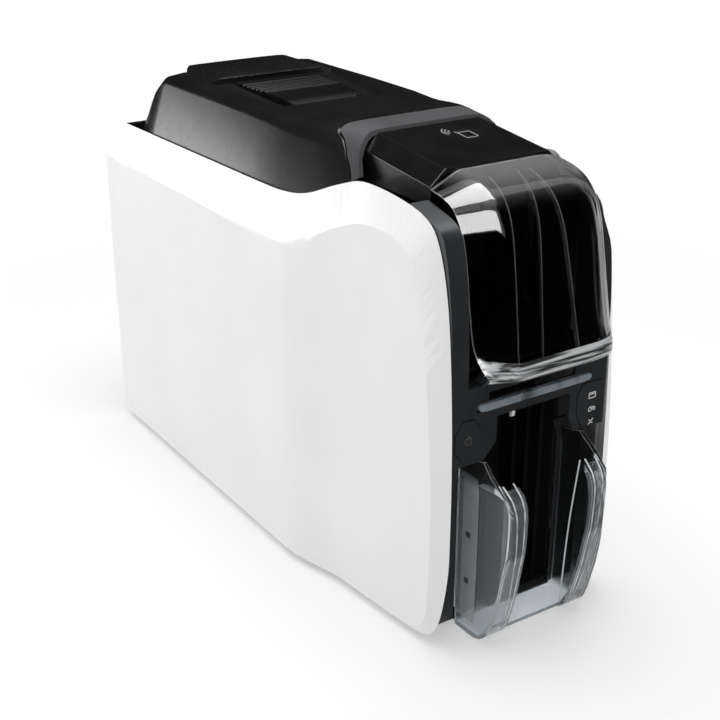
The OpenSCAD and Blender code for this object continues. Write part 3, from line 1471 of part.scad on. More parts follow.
// half width of the door at point i
function door_w(i) = door_half - 3.4 * ease((i - 21) / 8);
function door_bulge(u) = 1 - pow(max(0, 1 - pow(u, 2.4)), 1 / 2.4);
function door_point(i, x, t) =
  let (r = DOOR[i], w = door_w(i), u = min(max((abs(x) - 0.5 * w) / (0.5 * w), 0), 1),
    b = door_bulge(u), s = 1 - t / w,
    tc = tangent([for (q = DOOR) [q[0], q[1]]], i),
    n = [-tc[1], tc[0]], m = (r[0] + n[0] * t) * (1 - b) + (r[2] + n[0] * t * 0.2) * b,
    z = (r[1] + n[1] * t) * (1 - b) + (r[3] + n[1] * t) * b)
  [x * s, m, z];
door_steps = [-1, -0.985, -0.94, -0.86, -0.75, -0.62, -0.5, 0, 0.5, 0.62, 0.75, 0.86, 0.94, 0.985, 1];
module input_door() {
  n = len(door_steps) - 1;
  color("#20262a", 0.5)
    difference() {
      union() {
        loft([for (i = [0 : len(DOOR) - 1])
          concat([for (k = [n : -1 : 0]) door_point(i, door_steps[k] * door_w(i), 0)],
            [for (u = door_steps) door_point(i, u * door_w(i), door_wall)])]);
        // ribs down the inside
        for (x = [-18.5, 0, 18.5])
          xprism(concat([for (i = [4 : 24]) [DOOR[i][0] + 0.9 * door_wall, DOOR[i][1]]],
            [for (i = [24 : -1 : 4]) [DOOR[i][0] + 0.9 * door_wall
              + 8 * sin(180 * (i - 3) / 22), DOOR[i][1] - 1]]), x - 0.6, x + 0.6);
        // ears of the pivot
        both_sides()
          hull() {
            xcyl(3.2, door_boss_x + 3.4, door_boss_x + 6, door_pivot_y, door_pivot_z);
            block(door_boss_x + 3.4, door_boss_x + 6, door_pivot_y - 7.2,
              door_pivot_y - 4, door_pivot_z + 7, door_pivot_z + 14);
          }
      }
      xcyl(door_pin_r, -door_half, door_half, door_pivot_y, door_pivot_z);
    }
}
module door_pins() {
  color("silver")
    both_sides()
      xcyl(door_pin_r, door_boss_x - 0.6, door_boss_x + 6, door_pivot_y, door_pivot_z);
}

base_tray();
rubber_feet();
left_side_panel();
right_side_panel();
rear_panel();
front_bezel();
deck_cover();
left_frame();
right_frame();
tie_bars();
card_tray();
output_chute();
output_hopper();
feed_slot_light();
status_window();
main_board();
usb_port();
ethernet_port();
power_jack();
feed_motor();
ribbon_motor();
ribbon_film();
card_guides();
hinge_pins();
shaft_bushes();
frame_screws();
rear_screws();
exit_flag();
lid_shell();
lid_frame();
release_button();
button_spring();
latch_bar();
head_carrier();
print_head();
head_heat_sink();
input_door();
door_pins();
card_weight();
power_button();
pick_roller();
pick_shaft();
cleaning_roller();
cleaning_shaft();
feed_roller();
feed_shaft();
platen_roller();
platen_shaft();
exit_roller();
exit_shaft();
front_pinch_roller();
rear_pinch_roller();
pick_idler();
clean_idler();
front_idler();
rear_idler();
motor_pinion();
supply_spool();
takeup_spool();
ribbon_pinion();
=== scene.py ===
# Looks of the desktop id card printer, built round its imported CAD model.
# Places and sizes are in mm, in the frame of the CAD: front at -Y, origin at the bottom centre.
# The stage (camera, lights, floor and the cards that reflections see) is in metres.
import json
import math

import bmesh
import bpy
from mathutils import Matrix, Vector
from mathutils.bvhtree import BVHTree


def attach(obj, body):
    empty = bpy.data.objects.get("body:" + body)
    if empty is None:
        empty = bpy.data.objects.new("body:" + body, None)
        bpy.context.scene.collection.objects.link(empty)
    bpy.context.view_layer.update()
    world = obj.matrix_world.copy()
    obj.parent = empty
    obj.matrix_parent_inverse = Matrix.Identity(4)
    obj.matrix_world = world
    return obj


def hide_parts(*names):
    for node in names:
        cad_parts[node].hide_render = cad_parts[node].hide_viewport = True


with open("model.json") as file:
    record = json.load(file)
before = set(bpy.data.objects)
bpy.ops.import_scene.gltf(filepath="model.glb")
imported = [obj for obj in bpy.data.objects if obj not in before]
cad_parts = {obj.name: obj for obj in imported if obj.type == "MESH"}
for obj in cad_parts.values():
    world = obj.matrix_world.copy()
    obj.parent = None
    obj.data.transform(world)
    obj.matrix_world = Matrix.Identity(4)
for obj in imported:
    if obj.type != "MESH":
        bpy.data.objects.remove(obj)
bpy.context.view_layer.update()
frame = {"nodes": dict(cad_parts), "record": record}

MM = 0.001
# points nearer than this, in metres, are one point; faces within this angle, in degrees, are one face
WELD = 1e-6
FLAT_ANGLE = 0.4
BODY_OF = {n: b for b, names in frame["record"]["behaviour"]["bodies"].items() for n in names}
SLOT_OF = {s["node"]: s["material_slot"] for s in frame["record"]["subparts"]}


# ---------------------------------------------------------------- materials
class Shader:
    """A Principled material with small helpers for its procedural nodes."""

    def __init__(self, name):
        self.material = bpy.data.materials.new(name)
        self.material.use_nodes = True
        self.tree = self.material.node_tree
        self.bsdf = self.tree.nodes["Principled BSDF"]
        self.place = self.add("ShaderNodeTexCoord").outputs["Object"]

    def add(self, kind, **values):
        """A node whose properties and sockets, named in lower case, take the values."""
        node = self.tree.nodes.new(kind)
        for key, value in values.items():
            if hasattr(node, key):
                setattr(node, key, value)
            else:
                node.inputs[socket_name(key)].default_value = value
        return node

    def link(self, out, socket):
        self.tree.links.new(out, socket)

    def give(self, out, socket):
        """Link an output to a socket of the Principled shader."""
        self.link(out, self.bsdf.inputs[socket])

    def set(self, **values):
        for key, value in values.items():
            self.bsdf.inputs[socket_name(key)].default_value = value

    def axes(self):
        """The object's place as three outputs."""
        node = self.add("ShaderNodeSeparateXYZ")
        self.link(self.place, node.inputs["Vector"])
        return node.outputs

    def stretched(self, factors):
        """The object's place, scaled apart on each axis."""
        node = self.add("ShaderNodeMapping")
        node.inputs["Scale"].default_value = factors
        self.link(self.place, node.inputs["Vector"])
        return node.outputs["Vector"]

    def noise(self, scale, detail=4.0, place=None):
        node = self.add("ShaderNodeTexNoise", Scale=scale, Detail=detail)
        self.link(place or self.place, node.inputs["Vector"])
        return node.outputs["Fac"]

    def ramp(self, fac, low, high, start=0.3, end=0.7):
        """Colour from low to high while fac goes from start to end."""
        node = self.add("ShaderNodeValToRGB")
        node.color_ramp.elements[0].position = start
        node.color_ramp.elements[1].position = end
        node.color_ramp.elements[0].color = low
        node.color_ramp.elements[1].color = high
        self.link(fac, node.inputs["Fac"])
        return node.outputs["Color"]

    def spread(self, fac, low, high, start=0.3, end=0.7, curve="LINEAR"):
        """Value from low to high while fac goes from start to end."""
        node = self.add("ShaderNodeMapRange", interpolation_type=curve)
        node.inputs["From Min"].default_value = start
        node.inputs["From Max"].default_value = end
        node.inputs["To Min"].default_value = low
        node.inputs["To Max"].default_value = high
        self.link(fac, node.inputs["Value"])
        return node.outputs["Result"]

    def product(self, one, other):
        node = self.add("ShaderNodeMath", operation="MULTIPLY")
        self.link(one, node.inputs[0])
        self.link(other, node.inputs[1])
        return node.outputs["Value"]

    def bump(self, fac, strength, depth):
        node = self.add("ShaderNodeBump", Strength=strength, Distance=depth)
        self.link(fac, node.inputs["Height"])
        self.give(node.outputs["Normal"], "Normal")

    def clear_skin(self, uneven):
        """The skin of clear plastic: hardly uneven, with a little haze."""
        self.set(ior=1.5)
        self.give(self.spread(uneven, 0.0, 0.02), "Roughness")
        self.bump(self.noise(12.0, 2.0), 0.03, 0.00004)


def socket_name(key):
    return key.replace("_", " ").title().replace("Ior", "IOR")


def grey(value, tint=(1.0, 1.0, 1.0)):
    return (value * tint[0], value * tint[1], value * tint[2], 1.0)


COOL_WHITE = (1.0, 1.0, 1.005)
WARM_WHITE = (1.0, 0.98, 0.92)
CERAMIC_TINT = (1.0, 0.96, 0.88)
ARCH_TINT = (0.98, 1.0, 1.06)
BEZEL_TINT = (0.86, 0.98, 1.10)
EDGE_TINT = (0.97, 1.0, 1.02)
HOPPER_TINT = (0.94, 1.0, 1.04)
STRIP_TINT = (0.82, 0.97, 1.06)


def moulded(name, low, high, rough, grain=1400.0, depth=0.00003, strength=0.35, gloss=0.5):
    """Moulded plastic: a fine grain, faint flow clouds and uneven gloss."""
    s = Shader(name)
    s.give(s.ramp(s.noise(14.0), low, high), "Base Color")
    s.give(s.spread(s.noise(60.0), rough[0], rough[1]), "Roughness")
    s.set(specular_ior_level=gloss)
    s.bump(s.noise(grain, 3.0), strength, depth)
    return s.material


def rubber(name, value):
    return moulded(name, grey(value), grey(value * 1.5), (0.62, 0.78), grain=2600.0, depth=0.00004, gloss=0.3)


def mark(name, value):
    """A printed sign: a thin coat with worn, uneven cover."""
    return moulded(name, grey(value * 0.8), grey(value), (0.4, 0.5), grain=900.0, depth=0.00001)


def bright(name, low, high, rough, depth=0.00002):
    """Clear plastic in painted light: bright where the light that runs inside its wall comes out."""
    return moulded(name, grey(low, EDGE_TINT), grey(high, EDGE_TINT), rough, grain=260.0, depth=depth)


def metal(name, low, high, rough, brush=(40.0, 900.0, 40.0)):
    """Metal with fine lines drawn along one direction."""
    s = Shader(name)
    s.set(metallic=1.0)
    lines = s.noise(6.0, 6.0, s.stretched(brush))
    s.give(s.ramp(lines, low, high), "Base Color")
    s.give(s.spread(lines, rough[0], rough[1]), "Roughness")
    s.bump(lines, 0.3, 0.00002)
    return s.material


# where the painted sheen on the door's upper edge fades in, upwards and across
PAINTED_SHEEN_Z = (233.0, 253.0)
PAINTED_SHEEN_X = (-40.0, -22.0)


def door_smoke():
    """Smoked clear plastic of the input door, with a painted sheen along its upper edge, where it turns paler
    and less clear.
    """
    s = Shader("clear_smoke")
    place = s.axes()
    up = s.spread(place["Z"], 0.0, 1.0, PAINTED_SHEEN_Z[0] * MM, PAINTED_SHEEN_Z[1] * MM, "SMOOTHERSTEP")
    across = s.spread(place["X"], 0.0, 1.0, PAINTED_SHEEN_X[0] * MM, PAINTED_SHEEN_X[1] * MM, "SMOOTHSTEP")
    # painted sheen: paler colour and less see-through near the upper edge
    painted_sheen = s.product(up, across)
    s.give(s.ramp(painted_sheen, grey(0.30), grey(0.52), 0.0, 1.0), "Base Color")
    s.give(s.spread(painted_sheen, 0.998, 0.72, 0.0, 1.0), "Transmission Weight")
    s.clear_skin(s.noise(90.0))
    return s.material


HOPPER_TALL = 100.0
# painted light and shade by height, as (height as a share of HOPPER_TALL, how light): floor, just above it,
# below the shoulders, top
HOPPER_LIGHT_STOPS = [(0.035, 0.93), (0.06, 0.62), (0.91, 0.60), (0.97, 0.12)]
# painted shade: its right part is dark behind its front; where that starts and where it is full, on each axis
HOPPER_SHADE = {"X": (5.0, 12.0), "Y": (-180.0, -176.0), "Z": (4.0, 9.0)}


def hopper_grey():
    """Clear plastic of the card hopper, in painted light and shade: darker at its shoulders, nearly white at
    its floor, dark on its right part behind its front.
    """
    s = Shader("clear_grey")
    place = s.axes()
    (start, first), *between, (end, last) = HOPPER_LIGHT_STOPS
    # painted light and shade by height
    height = s.spread(place["Z"], 0.0, 1.0, 0.0, HOPPER_TALL * MM)
    tint = s.ramp(height, grey(first, HOPPER_TINT), grey(last, HOPPER_TINT), start, end)
    for position, value in between:
        tint.node.color_ramp.elements.new(position).color = grey(value, HOPPER_TINT)
    # painted shade on the right part behind the front
    shade = None
    for axis, (low, high) in HOPPER_SHADE.items():
        part = s.spread(place[axis], 0.0, 1.0, low * MM, high * MM)
        shade = part if shade is None else s.product(shade, part)
    mix = s.add("ShaderNodeMix", data_type="RGBA")
    s.link(shade, mix.inputs["Factor"])
    s.link(tint, mix.inputs["A"])
    mix.inputs["B"].default_value = grey(0.10, HOPPER_TINT)
    s.give(mix.outputs["Result"], "Base Color")
    s.set(transmission_weight=0.87)
    s.clear_skin(s.noise(40.0, 2.0))
    return s.material


def clear_lip():
    """The thick lip of the door, in painted reflections: streaks of what shines and what is dark behind it.
    """
    s = Shader("clear_lip")
    # painted reflections: bright and dark streaks in the colour
    painted_reflections = s.noise(3.0, 5.0, s.stretched((9.0, 60.0, 190.0)))
    s.give(s.ramp(painted_reflections, grey(0.04, EDGE_TINT), grey(0.66, EDGE_TINT), 0.42, 0.60), "Base Color")
    s.give(s.spread(painted_reflections, 0.10, 0.2), "Roughness")
    s.set(transmission_weight=0.15)
    s.bump(painted_reflections, 0.2, 0.0002)
    return s.material


def clear_band():
    """Front face of the right hopper wall, milky, in painted light for the light inside it."""
    s = Shader("clear_band")
    # painted light: the milky, bright tone stands for light inside the wall
    uneven = s.noise(9.0, 5.0, s.stretched((120.0, 60.0, 22.0)))
    s.give(s.ramp(uneven, grey(0.22, EDGE_TINT), grey(0.62, EDGE_TINT), 0.35, 0.65), "Base Color")
    s.give(s.spread(uneven, 0.15, 0.3), "Roughness")
    s.bump(uneven, 0.1, 0.0001)
    return s.material


def light_strip():
    """Light guide under the feed slot: milky, in lighter and darker stretches."""
    s = Shader("light_strip")
    along = s.noise(2.2, 2.0, s.stretched((22.0, 4.0, 4.0)))
    s.give(s.ramp(along, grey(0.06, STRIP_TINT), grey(0.34, STRIP_TINT), 0.42, 0.56), "Base Color")
    s.give(s.spread(s.noise(60.0), 0.2, 0.3), "Roughness")
    s.set(transmission_weight=0.25)
    s.bump(s.noise(700.0, 3.0), 0.2, 0.00001)
    return s.material


PLASTICS = {
    "white_cover": dict(low=grey(0.85, COOL_WHITE), high=grey(0.89, COOL_WHITE), rough=(0.30, 0.38),
                        grain=2200.0, depth=0.000012, strength=0.25, gloss=0.45),
    "black_cover": dict(low=grey(0.007), high=grey(0.011), rough=(0.245, 0.285), strength=0.06),
    "button_black": dict(low=grey(0.004), high=grey(0.007), rough=(0.30, 0.38), gloss=0.14),
    # arch_grey: a rougher finish, lighter than the lid as painted light on the band that faces the light
    "arch_grey": dict(low=grey(0.046, ARCH_TINT), high=grey(0.058, ARCH_TINT), rough=(0.42, 0.5), gloss=0.35),
    "deck_black": dict(low=grey(0.005), high=grey(0.008), rough=(0.20, 0.27), grain=1800.0, depth=0.00001),
    "bezel_grey": dict(low=grey(0.022, BEZEL_TINT), high=grey(0.030, BEZEL_TINT), rough=(0.32, 0.42)),
    "inner_black": dict(low=grey(0.004), high=grey(0.007), rough=(0.5, 0.62), gloss=0.15),
    "acetal": dict(low=grey(0.62, WARM_WHITE), high=grey(0.70, WARM_WHITE), rough=(0.32, 0.42)),
    "board": dict(low=(0.006, 0.09, 0.035, 1), high=(0.01, 0.14, 0.05, 1), rough=(0.3, 0.4), grain=500.0),
    "ceramic": dict(low=grey(0.55, CERAMIC_TINT), high=grey(0.62, CERAMIC_TINT), rough=(0.15, 0.22)),
    "ribbon": dict(low=(0.012, 0.006, 0.02, 1), high=(0.02, 0.01, 0.03, 1), rough=(0.14, 0.22),
                   grain=300.0, depth=0.000005),
    "motor": dict(low=grey(0.02), high=grey(0.03), rough=(0.35, 0.5), grain=1600.0),
    "white_clip": dict(low=grey(0.70), high=grey(0.78), rough=(0.3, 0.4)),
}
METALS = {
    "steel_sheet": dict(low=grey(0.50), high=grey(0.62), rough=(0.30, 0.42)),
    "steel_bright": dict(low=grey(0.62), high=grey(0.72), rough=(0.12, 0.2), brush=(900.0, 40.0, 40.0)),
    "aluminium": dict(low=grey(0.66), high=grey(0.76), rough=(0.28, 0.38)),
    "bronze": dict(low=(0.42, 0.27, 0.12, 1), high=(0.55, 0.36, 0.17, 1), rough=(0.3, 0.45)),
}
MATERIALS = {
    "clear_smoke": door_smoke(),
    "clear_grey": hopper_grey(),
    # painted highlights: bright clear edges, ribs and the paler flange stripe
    "clear_edge": bright("clear_edge", 0.62, 0.88, (0.10, 0.2)),
    "clear_rib": bright("clear_rib", 0.14, 0.26, (0.15, 0.3)),
    "clear_stripe": bright("clear_stripe", 0.52, 0.62, (0.2, 0.3), depth=0.00001),
    "clear_lip": clear_lip(),
    "clear_band": clear_band(),
    "light_strip": light_strip(),
    "mark_white": mark("mark_white", 0.80),
    "mark_grey": mark("mark_grey", 0.12),
    "mark_grey_light": mark("mark_grey_light", 0.42),
    "rubber_black": rubber("rubber_black", 0.012),
    "rubber_grey": rubber("rubber_grey", 0.05),
}
MATERIALS.update({name: moulded(name, **look) for name, look in PLASTICS.items()})
MATERIALS.update({name: metal(name, **look) for name, look in METALS.items()})


# --------------------------------------------------- meshes and small tools
def smooth_step(x):
    x = min(max(x, 0.0), 1.0)
    return x * x * (3 - 2 * x)


def curve_point(points, t):
    """Point at t, from 0 to 1, on a smooth curve through the points."""
    last = len(points) - 1
    at = min(max(t, 0.0), 1.0) * last
    i = min(int(at), last - 1)
    u = at - i
    a, b, c, d = (points[min(max(k, 0), last)] for k in (i - 1, i, i + 1, i + 2))
    return [0.5 * (2 * q + (r - p) * u + (2 * p - 5 * q + 4 * r - w) * u * u
                   + (3 * q - p - 3 * r + w) * u ** 3) for p, q, r, w in zip(a, b, c, d)]


def mesh_of(name, verts, faces, *materials):
    """A mesh of places in metres, in the named materials."""
    mesh = bpy.data.meshes.new(name)
    mesh.from_pydata(verts, [], faces)
    for material in materials:
        mesh.materials.append(MATERIALS[material])
    return mesh


def bar_faces(count, base=0, closed=False):
    """Faces of a four-cornered bar through count sections, with its two ends unless it is closed."""
    faces = []
    for i in range(count if closed else count - 1):
        p, q = base + 4 * i, base + 4 * ((i + 1) % count)
        faces += [(p + k, p + (k + 1) % 4, q + (k + 1) % 4, q + k) for k in range(4)]
    if not closed:
        last = base + 4 * (count - 1)
        faces += [(base + 3, base + 2, base + 1, base), (last, last + 1, last + 2, last + 3)]
    return faces


def bar(name, sections, material):
    """A bar through sections of four corners each, in mm."""
    verts = [tuple(v * MM for v in corner) for section in sections for corner in section]
    return mesh_of(name, verts, bar_faces(len(sections)), material)


def put(name, data):
    """A new object in the scene."""
    obj = bpy.data.objects.new(name, data)
    bpy.context.scene.collection.objects.link(obj)
    return obj


def piece(name, data, node, slot, *replaced):
    """A shape made here, put on a CAD node's body and, if named, in place of CAD nodes."""
    obj = put(name, data)
    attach(obj, BODY_OF[node])
    if replaced:
        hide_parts(*replaced)
    return obj


def finish_mesh(obj, edge, smooth_angle, segments=2, edge_material=None):
    """Round the edges of a piece, by edge in mm, and shade it smooth between its sharp corners."""
    kept = [line.index for line in obj.data.edges if line.use_edge_sharp]
    obj.data.polygons.foreach_set("use_smooth", [True] * len(obj.data.polygons))
    obj.data.set_sharp_from_angle(angle=math.radians(smooth_angle))
    for index in kept:
        obj.data.edges[index].use_edge_sharp = True
    if edge > 0:
        bevel = obj.modifiers.new("edges", "BEVEL")
        bevel.width = edge * MM
        bevel.segments = segments
        bevel.limit_method = "ANGLE"
        bevel.angle_limit = math.radians(smooth_angle)
        bevel.use_clamp_overlap = True
        if edge_material:
            obj.data.materials.append(MATERIALS[edge_material])
            bevel.material = len(obj.data.materials) - 1
        weighted = obj.modifiers.new("shading", "WEIGHTED_NORMAL")
        weighted.keep_sharp = bool(kept)


# ------------------------------------------- changes to the outside's forms
# the right front edge is drawn in by EDGE_SHIFT at EDGE_X, and less on both sides of it; above
# EDGE_HIGH_Z it is drawn in by EDGE_MORE on top, over a stretch broader by EDGE_BROADER, and
# from EDGE_DEEPER further back, and so again above EDGE_TOP_Z
EDGE_X = 54.4
EDGE_START_X = 43.0
EDGE_START_LOW_X = 25.0
EDGE_SHIFT = 5.0
EDGE_MORE = 4.0
EDGE_BROADER = 9.0
EDGE_DEEPER = 18.0
EDGE_BLEND = 9.0
EDGE_HIGH_Z = 203.0
EDGE_TOP_Z = 232.0
EDGE_BACK_Y = -143.0
MOUTH_TOP_Z = 150.0


def draw_in_edge(place):
    """Draws in the right front edge of the body, whose white border is broad in the photo."""
    x, y, z = place / MM
    high = smooth_step((z - EDGE_HIGH_Z) / 20.0)
    top = smooth_step((z - EDGE_TOP_Z) / 8.0)
    start = EDGE_START_X - EDGE_BROADER * high if z > MOUTH_TOP_Z else EDGE_START_LOW_X
    near = smooth_step((EDGE_BACK_Y + EDGE_DEEPER * (high + top) - y) / EDGE_BLEND)
    if x < EDGE_X:
        inner = smooth_step((x - start) / (EDGE_BLEND + EDGE_BROADER * high))
    else:
        inner = 1 - smooth_step((x - EDGE_X) / (6.5 + 7.0 * high))
    return Vector((x - (EDGE_SHIFT + EDGE_MORE * high) * near * inner, y, z)) * MM


BUTTON_BACK_Y = 80.0
BUTTON_LONG = 40.0
BUTTON_SKIRT_Z = 242.0
BUTTON_TALL = 6.0
BUTTON_LIFT = 2.6


def raise_button(place):
    """Lifts the front of the release button out of its dish, as a thumb lip."""
    x, y, z = place / MM
    front = smooth_step((BUTTON_BACK_Y - y) / BUTTON_LONG) * smooth_step((z - BUTTON_SKIRT_Z) / BUTTON_TALL)
    return Vector((x, y, z + BUTTON_LIFT * front)) * MM


# upper contour of the side covers, as (y, z); above it their outer skin leans inwards
CONTOUR = [(191.5, 216.0), (176.0, 197.0), (64.0, 194.4), (-26.0, 192.0), (-112.0, 229.4), (-160.0, 229.0)]
CONTOUR_LEAN = 4.0
CONTOUR_TALL = 22.0
ON_CONTOUR = 0.05
# the outer skin lies outside SKIN_X; the lean is full SKIN_BLEND further out
SKIN_X = 70.0
SKIN_BLEND = 3.0
SKIN_CUTS_Y = range(-164, 190, 12)
SKIN_CUTS_Z = range(196, 250, 6)


def contour_height(y):
    for (y1, z1), (y2, z2) in zip(CONTOUR, CONTOUR[1:]):
        if y2 <= y <= y1:
            return z1 + (z2 - z1) * (y - y1) / (y2 - y1)
    return CONTOUR[-1][1] if y < CONTOUR[-1][0] else CONTOUR[0][1]


def cut_skin(bm, place, normal):
    """Cuts the outer skin of a side cover along a plane, without taking anything away."""
    faces = [f for f in bm.faces if abs(f.calc_center_median().x) > SKIN_X * MM]
    verts = {v for f in faces for v in f.verts}
    edges = {e for f in faces for e in f.edges}
    bmesh.ops.bisect_plane(bm, geom=list(faces) + list(edges) + list(verts), dist=WELD,
                           plane_co=Vector(place) * MM, plane_no=Vector(normal))


def cut_contour(bm):
    """Edges along the contour on the outer skin of a side cover, then the lean above them."""
    for (y1, z1), (y2, z2) in zip(CONTOUR, CONTOUR[1:]):
        cut_skin(bm, (0.0, y1, z1), (0.0, z1 - z2, y2 - y1))
    for y in SKIN_CUTS_Y:
        cut_skin(bm, (0.0, y, 0.0), (0.0, 1.0, 0.0))
    for z in SKIN_CUTS_Z:
        cut_skin(bm, (0.0, 0.0, z), (0.0, 0.0, 1.0))
    on_line = set()
    for vert in bm.verts:
        x, y, z = vert.co / MM
        above = z - contour_height(y)
        if abs(x) <= SKIN_X:
            continue
        if abs(above) < ON_CONTOUR:
            on_line.add(vert)
        elif above > 0:
            inward = math.tan(math.radians(CONTOUR_LEAN)) * min(above, CONTOUR_TALL)
            vert.co.x -= math.copysign(inward * smooth_step((abs(x) - SKIN_X) / SKIN_BLEND), x) * MM
    for edge in bm.edges:
        if edge.verts[0] in on_line and edge.verts[1] in on_line:
            edge.smooth = False


# crease of the lid as (z, y), from the top down
ARCH_CREASE = [(270, -50), (255, -50), (251, -59), (244.3, -67), (235.4, -73.4), (223.8, -77)]


def crease_y(z):
    for (z0, y0), (z1, y1) in zip(ARCH_CREASE, ARCH_CREASE[1:]):
        if z0 >= z > z1:
            return y0 + (y1 - y0) * (z0 - z) / (z0 - z1)
    return ARCH_CREASE[-1][1]


def paint_arch_light(lid):
    """The faces of the lid in front of its crease take a rougher grey, made lighter as painted light where
    that band faces the light.
    """
    lid.data.materials.append(MATERIALS["arch_grey"])
    for face in lid.data.polygons:
        # painted light: the band in front of the crease takes the lighter grey
        if face.center.y / MM < crease_y(face.center.z / MM):
            face.material_index = len(lid.data.materials) - 1


# ----------------------------------------------------------- dressed nodes
DRESS_ANGLE = 32.0
# radius of the rounded edges of the nodes that are seen
OUTSIDE = {
    "left_side_panel": 0.5, "right_side_panel": 0.5, "rear_panel": 0.5, "front_bezel": 0.4,
    "deck_cover": 0.5, "lid_shell": 0.5, "release_button": 0.9,
    "output_chute": 0.4, "card_tray": 0.4, "card_weight": 0.4,
    "feed_slot_light": 0.3, "status_window": 0.3, "power_button": 0.4, "exit_flag": 0.25,
    "base_tray": 0.4, "rubber_feet": 0.5,
}
# the hopper's rounded edges take clear_edge, a painted highlight
HOPPER_EDGE = 0.8
WARPS = {
    "right_side_panel": draw_in_edge,
    "front_bezel": draw_in_edge,
    "status_window": draw_in_edge,
    "release_button": raise_button,
}


def dress(node, edge, edge_material=None):
    """A rounded copy of a CAD node that stands for it, in the material of its slot."""
    bm = bmesh.new()
    bm.from_mesh(frame["nodes"][node].data)
    if node in WARPS:
        for vert in bm.verts:
            vert.co = WARPS[node](vert.co)
    bmesh.ops.remove_doubles(bm, verts=bm.verts, dist=WELD)
    bmesh.ops.dissolve_limit(bm, angle_limit=math.radians(FLAT_ANGLE), use_dissolve_boundaries=False,
                             verts=bm.verts, edges=bm.edges)
    if node.endswith("side_panel"):
        cut_contour(bm)
    mesh = bpy.data.meshes.new(node + "_looks")
    bm.to_mesh(mesh)
    bm.free()
    mesh.materials.append(MATERIALS[SLOT_OF[node]])
    obj = piece(node + "_looks", mesh, node, SLOT_OF[node], node)
    finish_mesh(obj, edge, DRESS_ANGLE, edge_material=edge_material)
    return obj


def paint(node):
    """A CAD node kept as it is, in the material of its slot."""
    obj = frame["nodes"][node]
    obj.data.materials.clear()
    obj.data.materials.append(MATERIALS[SLOT_OF[node]])


# -------------------------------------- input door: one curved clear shell
# side view from the top edge to the bottom lip: y and z at the middle of the
# door, then y and z at its sides
DOOR = [(-129.8, 248.4, -129.8, 241.0), (-144.0, 246.4, -138.0, 239.6), (-154.0, 242.4, -146.5, 236.4),
        (-162.0, 235.4, -152.6, 230.0), (-168.0, 224.0, -157.0, 221.0), (-172.6, 207.5, -160.4, 206.0),
        (-176.8, 189.5, -163.2, 189.0), (-181.0, 171.0, -167.0, 171.5), (-184.0, 160.0, -173.4, 161.4),
        (-183.4, 155.2, -177.2, 156.8), (-179.2, 153.4, -175.8, 154.4)]
DOOR_HALF = 42.0
DOOR_NARROW = 3.2
DOOR_WALL = 2.0
DOOR_ROWS = 72
DOOR_STEPS = 72
# across, its right half rounds off as a superellipse of power CROWN; its left half stays flat
# up to FLANK_FROM and then turns back to the side
CROWN = 2.4
FLANK_FROM = 0.62
FLANK_ROUND = 0.05
LIP_Z = 164.0
# place across of each rib, from -1 to 1, at the top and at the bottom
RIBS = {"door_rib_left": (-0.40, -0.66), "door_rib_middle": (0.05, -0.30), "door_rib_right": (0.24, 0.36)}
RIB_FROM = 0.08
RIB_TO = 0.88
RIB_DEEP = 1.8
RIB_WIDE = 0.7
RIB_STEPS = 40


def door_section(t):
    """Half width, middle point and side point of the door at t down its side view."""
    narrow = DOOR_NARROW * smooth_step((t - 0.70) / 0.26)
    my, mz, sy, sz = curve_point(DOOR, t)
    return DOOR_HALF - narrow, (my, mz), (sy, sz)


def flank(u):
    """How far the door has turned back to its side at u, from 0 in the middle to 1 at its side."""
    turn = min(max(u - FLANK_FROM + FLANK_ROUND, 0.0), 2 * FLANK_ROUND)
    return (turn * turn / (4 * FLANK_ROUND) + max(u - FLANK_FROM - FLANK_ROUND, 0.0)) / (1 - FLANK_FROM)


def door_surface(t, a, inset):
    """Point of the door, in metres, at t down and a, from -1 to 1, across, inset from its outside."""
    half, middle, side = door_section(t)
    before, after = (curve_point(DOOR, t + d) for d in (-0.01, 0.01))
    along = Vector((after[0] - before[0], after[1] - before[1])).normalized()
    inward = Vector((-along.y, along.x))
    if a < 0:
        back = flank(-a)
        x = a * (half - inset)
    else:
        turn = max(0.0, (a - 0.5) / 0.5) * math.pi / 2
        back = 1 - max(math.cos(turn), 0.0) ** (2 / CROWN)
        x = (a if a < 0.5 else 0.5 + 0.5 * math.sin(turn) ** (2 / CROWN)) * (half - inset)
    y = (middle[0] + inward.x * inset) * (1 - back) + (side[0] + 0.9 * inward.x * inset) * back
    z = (middle[1] + inward.y * inset) * (1 - back) + (side[1] + inward.y * inset) * back
    return Vector((x, y, z)) * MM


def shell_faces(rows, steps):
    """Faces between an outer and an inner grid of points: the two skins in turns, then the rim."""
    n = steps + 1
    inner = (rows + 1) * n
    skins, rim = [], []
    for i in range(rows):
        for k in range(steps):
            q = [i * n + k, i * n + k + 1, (i + 1) * n + k + 1, (i + 1) * n + k]
            skins += [q, [inner + v for v in reversed(q)]]
    for i in range(rows):
        for k in (0, steps):
            q = [i * n + k, (i + 1) * n + k, inner + (i + 1) * n + k, inner + i * n + k]
            rim.append(q if k == 0 else q[::-1])
    for k in range(steps):
        for i in (0, rows):
            q = [i * n + k, inner + i * n + k, inner + i * n + k + 1, i * n + k + 1]
            rim.append(q if i == 0 else q[::-1])
    return skins, rim


